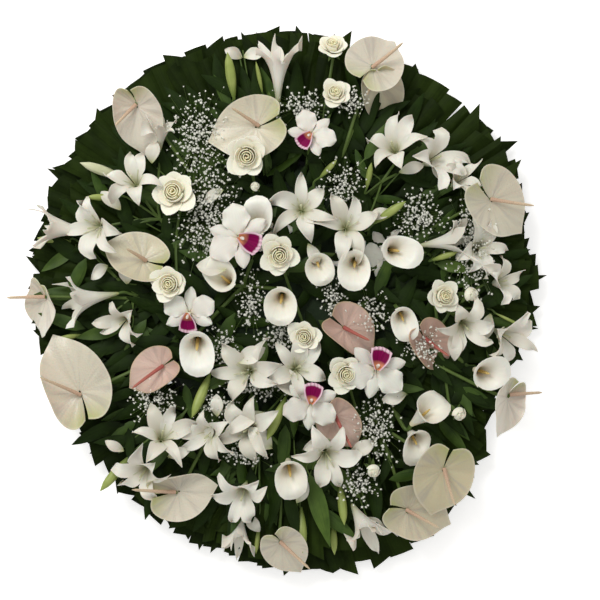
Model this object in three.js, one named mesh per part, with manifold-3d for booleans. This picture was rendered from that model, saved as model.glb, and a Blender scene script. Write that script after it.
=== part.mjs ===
// A round funeral wreath, lying on its flat back, millimetres, +Z up.
// A tray holds a pad of floral foam. Pleated palm fans stand out round its side and are cut
// off in a round outline, and every flower and leaf has a stem that is pushed into the foam.
// The origin is the middle of the tray's underside.
import * as THREE from 'three';
import { mergeVertices } from 'three/addons/utils/BufferGeometryUtils.js';
import Module from 'manifold-3d';

const wasm = await Module();
wasm.setup();

// Driving dimensions
const TRAY = { radius: 306, rim: 12, floor: 3, wall: 3, sides: 24 };
const FOAM = { radius: 290, top: 58, chamfer: 20, gap: 0.3 };
const CLEARANCE = 0.35;
const FOOT_HEIGHT = 36;
const FOOT_REACH = 238;
const FORK_REACH = 318;
const FORK_HEIGHT = 78;
const TURNS = [0, 3, -3, 6, -6, 9, -9, 13, -13, 18, -18, 24, -24];
const BENDS = [0, 10, -10, 20, -20, 32, -32, 46, -46, 60, -60];
const BLOCKED = 100;
const BLADE = 2.4;
const SMOOTHING = 0.1;

// The cut outline of the palm fans: its radius every 20 degrees, counter-clockwise from +X
const OUTLINE = [
  548, 531, 571, 544, 563, 573, 565, 565, 559, 542, 535, 521, 563, 565, 588, 596, 531, 493,
];
const FANS = { count: 8, columns: 12, halfAngle: 39, pivot: 200, inner: 313, low: 26, high: 44 };

const COLOURS = {
  tray: 0x2c3a2c, foam: 0x3f6b3c, palm: 0x1f3312, white: 0xd6d4c8,
  cream: 0xc9c3a2, pink: 0xcfa9a2, rose: 0xd9d3ac, calla: 0xdad7c8, lip: 0x6e0634,
  baby: 0xdcdcd6,
};

const rad = THREE.MathUtils.degToRad;
const lerp = THREE.MathUtils.lerp;

function mulberry(seed) {
  let state = seed;
  return () => {
    state = (state + 0x6d2b79f5) | 0;
    let mixed = Math.imul(state ^ (state >>> 15), 1 | state);
    mixed = (mixed + Math.imul(mixed ^ (mixed >>> 7), 61 | mixed)) ^ mixed;
    return ((mixed ^ (mixed >>> 14)) >>> 0) / 4294967296;
  };
}

// Solids

// A geometry as a solid: corners that meet are one, and collapsed triangles are dropped
function toSolid(geometry) {
  geometry.deleteAttribute('normal');
  geometry.deleteAttribute('uv');
  const merged = mergeVertices(geometry, 1e-4);
  const corners = merged.index.array;
  const kept = [];
  for (let i = 0; i < corners.length; i += 3) {
    const [a, b, c] = [corners[i], corners[i + 1], corners[i + 2]];
    if (a !== b && b !== c && c !== a) kept.push(a, b, c);
  }
  return new wasm.Manifold(new wasm.Mesh({
    numProp: 3,
    vertProperties: merged.attributes.position.array,
    triVerts: new Uint32Array(kept),
  }));
}

function toGeometry(solid) {
  const mesh = solid.getMesh();
  const geometry = new THREE.BufferGeometry();
  geometry.setAttribute('position', new THREE.BufferAttribute(mesh.vertProperties, 3));
  geometry.setIndex(new THREE.BufferAttribute(mesh.triVerts, 1));
  return geometry;
}

const union = (solids) => wasm.Manifold.union(solids);
const move = (solid, matrix) => solid.transform([...matrix.elements]);

// A petal or leaf from a grid, u 0..1 from root to tip and v -1..1 across. Both faces are split
// into triangles alike. It is thickest inside and thins to its edge. With a margin it is the
// same blade grown on every side, which is what its neighbours are cut back by.
function blade({ along, across, surface, thick = BLADE, rim = 0, margin = 0 }) {
  const grid = new THREE.PlaneGeometry(1, 1, across, along);
  const columns = across + 1;
  const count = columns * (along + 1);
  const position = new Float32Array(count * 6);
  const at = new THREE.Vector3();
  const alongU = new THREE.Vector3();
  const alongV = new THREE.Vector3();
  const normal = new THREE.Vector3();
  for (let i = 0; i < count; i++) {
    const u = Math.floor(i / columns) / along;
    const v = ((i % columns) / across) * 2 - 1;
    const [nearU, nearV] = [THREE.MathUtils.clamp(u, 0.04, 0.96), v * 0.96];
    alongU.copy(surface(nearU + 0.02, nearV)).sub(surface(nearU - 0.02, nearV)).normalize();
    alongV.copy(surface(nearU, nearV + 0.03)).sub(surface(nearU, nearV - 0.03)).normalize();
    normal.crossVectors(alongU, alongV).normalize();
    at.copy(surface(u, v));
    const edge = u === 0 || u === 1 || Math.abs(v) === 1;
    if (u === 0) at.addScaledVector(alongU, -margin);
    if (u === 1) at.addScaledVector(alongU, margin);
    if (Math.abs(v) === 1) at.addScaledVector(alongV, v * margin);
    const half = (edge ? rim : Math.max(rim, thick * (1 - v * v))) / 2 + margin;
    at.clone().addScaledVector(normal, half).toArray(position, i * 3);
    at.clone().addScaledVector(normal, -half).toArray(position, (count + i) * 3);
  }
  const index = [];
  const faces = grid.index.array;
  for (let i = 0; i < faces.length; i += 3) {
    index.push(faces[i], faces[i + 1], faces[i + 2]);
    index.push(count + faces[i], count + faces[i + 2], count + faces[i + 1]);
  }
  const ring = [];
  for (let i = 0; i < across; i++) ring.push(i);
  for (let i = 0; i < along; i++) ring.push(i * columns + across);
  for (let i = across; i > 0; i--) ring.push(along * columns + i);
  for (let i = along; i > 0; i--) ring.push(i * columns);
  ring.forEach((a, i) => {
    const b = ring[(i + 1) % ring.length];
    index.push(a, b, count + b, a, count + b, count + a);
  });
  const geometry = new THREE.BufferGeometry();
  geometry.setAttribute('position', new THREE.BufferAttribute(position, 3));
  geometry.setIndex(index);
  return toSolid(geometry);
}

// A closed body from an inner face, its copy as the outer face, and a wall along the rim.
// Where the rim has no thickness its two corners are one, and the wall vanishes.
function sandwich(inner, outer, faces, rim) {
  const count = inner.length;
  const index = [];
  for (const [a, b, c] of faces) index.push(a, b, c, count + a, count + c, count + b);
  rim.forEach((a, i) => {
    const b = rim[(i + 1) % rim.length];
    index.push(b, a, count + a, b, count + a, count + b);
  });
  const geometry = new THREE.BufferGeometry().setFromPoints([...inner, ...outer]);
  return toSolid(geometry.setIndex(index));
}

// The corner of both faces at one place of a surface, apart by twice the half thickness there,
// square to the surface or else straight up, and moved out sideways and ahead towards the tip
function corners(surface, u, w, { half, out = 0, ahead = 0, upright = false }) {
  const [u0, w0] = [Math.min(u, 0.96), w * 0.96];
  const alongU = surface(u0 + 0.02, w0).sub(surface(u0 - 0.02, w0)).normalize();
  const alongW = surface(u0, w0 + 0.03).sub(surface(u0, w0 - 0.03)).normalize();
  const square = new THREE.Vector3().crossVectors(alongU, alongW).normalize();
  const normal = upright ? new THREE.Vector3(0, 0, 1) : square;
  const at = surface(u, w).addScaledVector(alongW, w * out).addScaledVector(alongU, ahead);
  return [half, -half].map((step) => at.clone().addScaledVector(normal, step));
}

// Petals that are joined in a cup at their foot and part above it. petal(k) gives the surface of
// petal k, u 0..1 from foot to tip and w -1..1 across, and neighbours meet at u = split. A slim
// petal narrows to its tip from there, and any other has a corner on each side at u = broad. In an
// upright one the faces are apart straight up, so they can't cross where a petal is steep.
function corolla({
  petals, split, broad, petal, foot, slim = () => false, upright = false, thick = BLADE, margin = 0,
}) {
  const [inner, outer] = [[], []];
  const add = ([front, back]) => {
    inner.push(front);
    outer.push(back);
    return inner.length - 1;
  };
  const apex = add([foot[1] + margin, foot[0] - margin].map((z) => new THREE.Vector3(0, 0, z)));
  const half = thick / 2 + margin;
  const edge = { half: margin, out: margin, upright };
  const ring = Array.from({ length: petals }, (_, k) => ({
    notch: add(corners(petal(k), split, -1, { half, ahead: margin, upright })),
    left: slim(k) ? null : add(corners(petal(k), broad, -1, edge)),
    middle: add(corners(petal(k), broad, 0, { half, upright })),
    right: slim(k) ? null : add(corners(petal(k), broad, 1, edge)),
    tip: add(corners(petal(k), 1, 0, {
      half: margin, ahead: (slim(k) ? 4 : 1) * margin, upright,
    })),
  }));
  const faces = ring.flatMap(({ notch, left, middle, right, tip }, k) => {
    const next = ring[(k + 1) % petals].notch;
    const base = [[apex, notch, next], [notch, middle, next]];
    if (slim(k)) return [...base, [notch, tip, middle], [middle, tip, next]];
    return [
      ...base, [notch, left, middle], [middle, right, next], [left, tip, middle], [middle, tip, right],
    ];
  });
  const rim = ring.flatMap(({ notch, left, right, tip }, k) => (
    slim(k) ? [notch, tip] : [notch, left, tip, right]));
  return sandwich(inner, outer, faces, rim);
}

// A funnel with an unbroken rim, from surface(u, turn), with turn 0..2 once round
function funnel({ columns, rows, surface, foot, thick = BLADE, margin = 0 }) {
  const [inner, outer] = [[], []];
  inner.push(new THREE.Vector3(0, 0, foot[1] + margin));
  outer.push(new THREE.Vector3(0, 0, foot[0] - margin));
  for (let row = 1; row <= rows; row++) {
    for (let column = 0; column < columns; column++) {
      const turn = (column / columns) * 2;
      const last = row === rows;
      const pair = corners((u, w) => surface(u, w + turn), row / rows, 0, {
        half: (last ? 0 : thick / 2) + margin, ahead: last ? margin : 0,
      });
      inner.push(pair[0]);
      outer.push(pair[1]);
    }
  }
  const spot = (row, column) => 1 + (row - 1) * columns + (column % columns);
  const faces = [];
  for (let column = 0; column < columns; column++) {
    faces.push([0, spot(1, column), spot(1, column + 1)]);
    for (let row = 1; row < rows; row++) {
      const [a, b] = [spot(row, column), spot(row + 1, column)];
      const [c, d] = [spot(row + 1, column + 1), spot(row, column + 1)];
      faces.push([a, b, c], [a, c, d]);
    }
  }
  const rim = Array.from({ length: columns }, (_, column) => spot(rows, column));
  return sandwich(inner, outer, faces, rim);
}

// A stem: a round-ish section swept along a curve
function tube(points, radius, { sides = 5, steps = 4, margin = 0 } = {}) {
  const section = new THREE.Shape();
  for (let i = 0; i < sides; i++) {
    const angle = (i / sides) * Math.PI * 2;
    const corner = [Math.cos(angle), Math.sin(angle)].map((c) => c * (radius + margin * 1.3));
    if (i === 0) section.moveTo(...corner);
    else section.lineTo(...corner);
  }
  const path = points.length === 2
    ? new THREE.LineCurve3(...points)
    : new THREE.CatmullRomCurve3(points, false, 'chordal');
  return toSolid(new THREE.ExtrudeGeometry(section, {
    steps: points.length === 2 ? 1 : steps, bevelEnabled: false, extrudePath: path,
  }));
}

// A turned body with its axis along +Z: the profile is [radius, height] from bottom to top
function turned(profile, sides, margin = 0) {
  const last = profile.length - 1;
  const points = profile.map(([radius, height], i) => new THREE.Vector2(
    radius > 0 ? radius + margin : 0,
    height + (i === 0 ? -margin : i === last ? margin : 0),
  ));
  return toSolid(new THREE.LatheGeometry(points, sides).rotateX(Math.PI / 2));
}

// Flowers, each from its own origin at the top of its stem, facing +Z, with +X as its long way.
// Each returns its closed solids, grown by the margin.

// Six tepals in two whorls, joined in a tube. Open 0 is a trumpet and 1 a flat star.
function lily({ size = 1, open = 0.5 }, margin) {
  const profile = new THREE.CubicBezierCurve(
    new THREE.Vector2(2.5, 0),
    new THREE.Vector2(lerp(9, 18, open), lerp(52, 34, open)),
    new THREE.Vector2(lerp(15, 44, open), lerp(96, 62, open)),
    new THREE.Vector2(lerp(46, 80, open), lerp(112, 38, open)),
  );
  const split = lerp(0.56, 0.3, open);
  const petal = (k) => (u, w) => {
    const inner = k % 2 === 1;
    const spot = profile.getPoint(u);
    const widest = (inner ? 20 : 15) * Math.max(0, Math.sin(Math.PI * u ** 1.15)) ** 0.8;
    const half = u > split ? Math.min(0.5, widest / spot.x) : Math.PI / 6;
    const angle = rad(k * 60) + w * half;
    const radius = (spot.x + (inner ? 0 : 2) * Math.min(1, Math.max(0, u - split) * 4)) * size;
    const lift = (spot.y + 5 * w * w * (u > split ? 1 : 0) - (inner ? 0 : 3) * u) * size;
    return new THREE.Vector3(radius * Math.cos(angle), radius * Math.sin(angle), lift);
  };
  const slim = (k) => k % 2 === 0;
  return [corolla({
    petals: 6, split, broad: 0.74, petal, slim, upright: open >= 0.7, foot: [-6, 8], thick: 2.8, margin,
  })];
}

// A closed lily bud on its side of the stem
function bud({ size = 1, width = 1 }, margin) {
  const profile = [[0, -6], [10 * width, 52], [7.5 * width, 78], [0, 97]];
  return [turned(profile.map(([r, z]) => [r, z * size]), 4, margin)];
}

// A lance-shaped leaf that grows along +Z and faces -X, which is up once it is laid over
function leaf({ length = 95, width = 11, bend = 10 }, margin) {
  const surface = (u, v) => new THREE.Vector3(
    bend * (u * u - 0.4 * u) - 2.5 * Math.abs(v) * Math.sin(Math.PI * u),
    v * width * Math.max(0, Math.sin(Math.PI * u ** 0.9)) ** 0.8,
    length * u - 3,
  );
  return [blade({ along: 4, across: 2, surface: (u, v) => surface(u, -v), margin })];
}

// The heart outline of an anthurium spathe: distance from the notch, tip at angle 0
function heart(angle, lobes) {
  const toTip = ((1 + Math.cos(angle)) / 2) ** 2;
  const point = Math.exp(-((angle / 0.3) ** 2));
  const notch = Math.exp(-(((Math.PI - Math.abs(angle)) / 0.4) ** 2));
  return (lobes + (0.84 - lobes) * toTip + 0.16 * point) * (1 - 0.28 * notch);
}

// A spathe, cupped, with its two lobes lifted at the notch, and the spadix
function anthurium({ size = 100, lobes = 0.54, turn = 0, rise = 38, reach = 70 }, margin) {
  const notch = rad(166);
  const surface = (u, v) => {
    const angle = v * notch;
    const out = u * size * heart(angle, lobes);
    const cup = 0.10 * size * u * u + 0.16 * size * u ** 1.5 * Math.max(0, -Math.cos(angle));
    const tip = -0.12 * size * u ** 4 * Math.exp(-((angle / 0.5) ** 2));
    return new THREE.Vector3(out * Math.cos(angle) + 5, out * Math.sin(angle), cup + tip - 1);
  };
  const spathe = blade({ along: 2, across: 8, surface, thick: 3, margin });
  const direction = new THREE.Vector3(
    Math.cos(rad(turn)) * Math.cos(rad(rise)),
    Math.sin(rad(turn)) * Math.cos(rad(rise)),
    Math.sin(rad(rise)),
  );
  const lean = new THREE.Quaternion().setFromUnitVectors(new THREE.Vector3(0, 0, 1), direction);
  const spadix = turned([[0, -6], [4.6, 10], [0, reach]], 4, margin);
  const seat = new THREE.Matrix4().makeRotationFromQuaternion(lean).setPosition(-1, 0, 8);
  return [spathe, move(spadix, seat)];
}

// Whorls of petals, one cup inside the other; a rose that is still closed has two tight ones
function rose({ size = 1, open = 1 }, margin) {
  const whorls = open > 0.6
    ? [[5, 36, 33, 12], [3, 17, 41, -5]]
    : [[3, 20, 40, -2], [3, 10, 43, -5]];
  return whorls.map(([petals, spread, height, roll], ring) => {
    const petal = (k) => (u, w) => {
      const apart = Math.max(0, u - 0.55);
      const narrow = 1 - 0.9 * apart ** 1.2 - (u === 1 ? 0.1 : 0);
      const angle = rad(k * (360 / petals) + ring * 30) + w * (Math.PI / petals) * narrow;
      const swell = Math.sin(Math.min(1, u * 1.25) * 1.57);
      const radius = (spread * swell + roll * apart * 2.2 + 2.4 * apart * w) * size;
      const lift = (ring * 5 + height * u ** 1.1 - 9 * apart * w * w - roll * 0.5 * apart) * size;
      return new THREE.Vector3(radius * Math.cos(angle), radius * Math.sin(angle), lift);
    };
    const foot = ring === 0 ? [-7, 8] : [2, 14];
    return corolla({ petals, split: 0.5, broad: 0.84, petal, foot, thick: 3, margin });
  });
}

// A funnel with its tip along +X and its far side low, and the spadix inside
function calla({ size = 1, flare = 1 }, margin) {
  const surface = (u, turn) => {
    const angle = turn * Math.PI;
    const back = (1 + Math.cos(angle)) / 2;
    const radius = 4 + 19 * u ** 1.5 + (8 + 16 * back ** 2) * flare * u ** 5;
    const lift = (66 + 30 * back ** 2) * (u - 0.12 * flare * u ** 6);
    return new THREE.Vector3(
      radius * Math.cos(angle) * size, radius * Math.sin(angle) * size, lift * size,
    );
  };
  const spadix = turned([[0, 0], [3.4, 16], [2.8, 50], [0, 58]].map(
    ([r, z]) => [r, z * size],
  ), 4, margin);
  return [funnel({ columns: 7, rows: 2, surface, foot: [-6, 8], margin }), spadix];
}

// The white part of a cattleya: three narrow sepals, two broad petals that waver at the edge,
// and the short column under the lip
function cattleya({ size = 1 }, margin) {
  const parts = [[14, 7, 0], [50, 11, 0], [53, 24, 4], [52, 12, 0], [53, 24, 4], [50, 11, 0]];
  const petal = (k) => (u, w) => {
    const [length, width, wave] = parts[k];
    const out = lerp(2, length, u) * size;
    const side = u > 0.25
      ? w * width * Math.max(0, Math.sin(Math.PI * u ** 1.1)) ** 0.6 * size
      : out * Math.tan((w * Math.PI) / 6);
    const lift = 12 * Math.sin(1.6 * u) - 6 * u * u + wave * w;
    return new THREE.Vector3(out, side, lift).applyAxisAngle(UP, rad(k * 60));
  };
  return [corolla({ petals: 6, split: 0.22, broad: 0.62, petal, foot: [-5, 7], margin })];
}

// The lip of a cattleya: a tube that opens into a round frilled mouth along +X
function lip({ size = 1 }, margin) {
  const surface = (u, v) => {
    const out = 44 * size * u * (1 - 0.12 * v * v);
    const side = v * (5 + 17 * Math.sin(Math.min(1, u * 1.2) * 1.9)) * size;
    const frill = 2.5 * Math.cos(v * 9) * u * u;
    const roll = 13 * (1 - Math.cos(v * 1.5)) * (1.1 - u * 0.7);
    return new THREE.Vector3(out - 3, side * (1 - 0.3 * (1 - u)), 9.1 + roll + frill - 2 * u * u);
  };
  return [blade({ along: 3, across: 4, surface, margin })];
}

// A cluster of gypsophila: small flowers on hair-thin stalks, larger than life
function baby(head, margin) {
  const count = 5;
  const petal = (k) => (u, w) => {
    const lean = k % 2 ? 0.5 : 1;
    const side = w * (u > 0.2 ? 0.8 + 4.6 * u ** 3 : 0);
    const angle = rad(k * (360 / count)) + (u > 0.2 ? 0 : w * (Math.PI / count));
    const out = 1 + 26 * u * Math.sin(lean);
    return new THREE.Vector3(
      out * Math.cos(angle) - side * Math.sin(angle),
      out * Math.sin(angle) + side * Math.cos(angle),
      26 * u * Math.cos(lean),
    );
  };
  const slim = () => true;
  return [corolla({ petals: count, split: 0.16, broad: 0.6, petal, slim, foot: [-5, 5], margin })];
}

const UP = new THREE.Vector3(0, 0, 1);
const SHAPES = { lily, bud, leaf, anthurium, rose, calla, cattleya, lip, baby };
const STEMS = {
  lily: 3.2, bud: 2.2, leaf: 1.6, anthurium: 4, rose: 3.4, calla: 4.6, cattleya: 3.2, baby: 1.2,
};

// Planting

// A head's frame: it leans from upright by the tilt towards the heading, and its long way
// points towards the aim
function headFrame({ at, heading = 0, tilt = 0, aim = heading }) {
  return new THREE.Matrix4().makeRotationZ(rad(heading))
    .multiply(new THREE.Matrix4().makeRotationY(rad(tilt)))
    .multiply(new THREE.Matrix4().makeRotationZ(rad(aim - heading)))
    .setPosition(...at);
}

// The trunk of a bunch: straight, from its foot in the foam to the fork just over the foam
function trunk({ heads, foot }, turn) {
  const middle = foot
    ? new THREE.Vector2(...foot)
    : heads.reduce((sum, { at }) => sum.add(new THREE.Vector2(at[0], at[1])), new THREE.Vector2())
      .divideScalar(heads.length);
  const reach = middle.length();
  const away = middle.divideScalar(reach).rotateAround(new THREE.Vector2(), rad(turn));
  const low = away.clone().multiplyScalar(Math.min(reach, FOOT_REACH));
  const high = away.clone().multiplyScalar(Math.min(reach, FORK_REACH));
  const start = new THREE.Vector3(low.x, low.y, FOOT_HEIGHT);
  const fork = new THREE.Vector3(high.x, high.y, FORK_HEIGHT);
  const thickest = Math.max(...heads.map(({ kind }) => STEMS[kind])) + 0.6;
  const end = fork.clone().addScaledVector(fork.clone().sub(start).normalize(), 2);
  const [solid, grown] = [0, CLEARANCE].map(
    (margin) => tube([start, end], thickest, { sides: 3, margin }),
  );
  return { fork, solid, grown };
}

// The branch of a head, from the fork to under the head, with a bend to one side
function branch(head, fork, bend) {
  const end = new THREE.Vector3(...head.at);
  const axis = new THREE.Vector3(0, 0, 1).transformDirection(headFrame(head));
  const before = end.clone().addScaledVector(axis, -Math.min(24, 0.35 * end.distanceTo(fork)));
  before.z = Math.max(before.z, Math.min(end.z, FORK_HEIGHT - 4));
  const side = new THREE.Vector3().crossVectors(UP, before.clone().sub(fork)).normalize();
  const middle = fork.clone().lerp(before, 0.5).addScaledVector(side, bend);
  const past = head.kind === 'anthurium' ? 9 : 1.5;
  const last = end.clone().addScaledVector(axis, past);
  const bends = [...(bend ? [middle] : []), ...(STEMS[head.kind] > 2.5 ? [before] : [])];
  const route = [fork, ...bends, last];
  const [solid, grown] = [0, CLEARANCE].map((margin) => (
    tube(route, STEMS[head.kind], { sides: 3, steps: route.length - 1, margin })));
  return { solid, grown };
}

const meets = (a, b) => {
  const [boxA, boxB] = [a.boundingBox(), b.boundingBox()];
  return [0, 1, 2].every((i) => boxA.min[i] < boxB.max[i] && boxB.min[i] < boxA.max[i]);
};
const isClear = (solid, taken) => !taken.some(
  (other) => meets(solid, other) && solid.intersect(other).volume() > 0);

// The stems of a bunch, turned round the foam and bent aside until they clear those in place,
// by the way that runs through the fewest of the other bunches' blooms
function stems(bunch, taken, blooms) {
  const others = blooms.filter((bloom) => bloom.bunch !== bunch);
  const through = (solid) => others.filter(
    (bloom) => meets(solid, bloom.solid) && solid.intersect(bloom.solid).volume() > 0).length;
  const score = (solid) => (isClear(solid, taken) ? 0 : BLOCKED) + through(solid);
  let best = null;
  for (const turn of TURNS) {
    const foot = trunk(bunch, turn);
    let total = score(foot.grown);
    const parts = bunch.heads.map((head) => {
      let chosen = null;
      for (const bend of BENDS) {
        const way = branch(head, foot.fork, bend);
        const cost = score(way.grown);
        if (!chosen || cost < chosen.cost) chosen = { ...way, cost };
        if (cost === 0) break;
      }
      total += chosen.cost;
      return chosen;
    });
    if (!best || total < best.total) best = { total, foot, parts };
    if (total <= bunch.heads.length) break;
  }
  const all = [best.foot, ...best.parts];
  taken.push(...all.map((part) => part.solid));
  return {
    stalks: union(all.map((part) => part.solid)),
    stalksGrown: union(all.map((part) => part.grown)),
    hole: best.foot.grown,
  };
}

// A bloom's solid in its place, grown by the margin
const bloomSolid = (head, margin) => union(
  SHAPES[head.kind](head, margin).map((solid) => move(solid, headFrame(head))));

// A bunch of heads on one foot, as petals and stems apart, both at size and grown
function plant(bunch, taken, blooms) {
  const flower = {
    ...bunch,
    petals: union(bunch.heads.map((head) => bloomSolid(head, 0))),
    petalsGrown: union(bunch.heads.map((head) => bloomSolid(head, CLEARANCE))),
  };
  return bunch.kind === 'lip' ? flower : { ...flower, ...stems(bunch, taken, blooms) };
}

// The bunches, the topmost first: where two petals would cross, the later one is cut back.
// A head's place is the top of its stem.
const lilyAt = (at, heading, tilt, open, size = 1) => (
  { kind: 'lily', at, heading, tilt, open, size });
const budAt = (at, heading, tilt, size = 1, width = 1) => (
  { kind: 'bud', at, heading, tilt, size, width });
const leafAt = (at, heading, tilt, length = 95, width = 11) => (
  { kind: 'leaf', at, heading, tilt, length, width });
const roseAt = (at, heading, tilt, size = 1, open = 1) => (
  { kind: 'rose', at, heading, tilt, size, open });
const callaAt = (at, heading, tilt, aim, size = 1, flare = 1) => (
  { kind: 'calla', at, heading, tilt, aim, size, flare });
const spatheAt = (at, heading, tilt, aim, size, turn, reach = 70, lobes = 0.54, rise = 38) => (
  { kind: 'anthurium', at, heading, tilt, aim, size, turn, reach, lobes, rise });
const babyAt = (at) => (
  { kind: 'baby', at });

// An orchid's white petals and its lip are two nodes with one place
const ORCHIDS = [
  { at: [50, 345, 138], heading: 90, tilt: 12, aim: 229, size: 0.86 },
  { at: [-97, 130, 140], heading: 150, tilt: 10, aim: 335, size: 1.15 },
  { at: [-204, -28, 128], heading: 180, tilt: 12, aim: 270, size: 0.95 },
  { at: [186, -142, 136], heading: 300, tilt: 10, aim: 75, size: 1.1 },
  { at: [50, -213, 134], heading: 270, tilt: 10, aim: 80, size: 1 },
];

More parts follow.
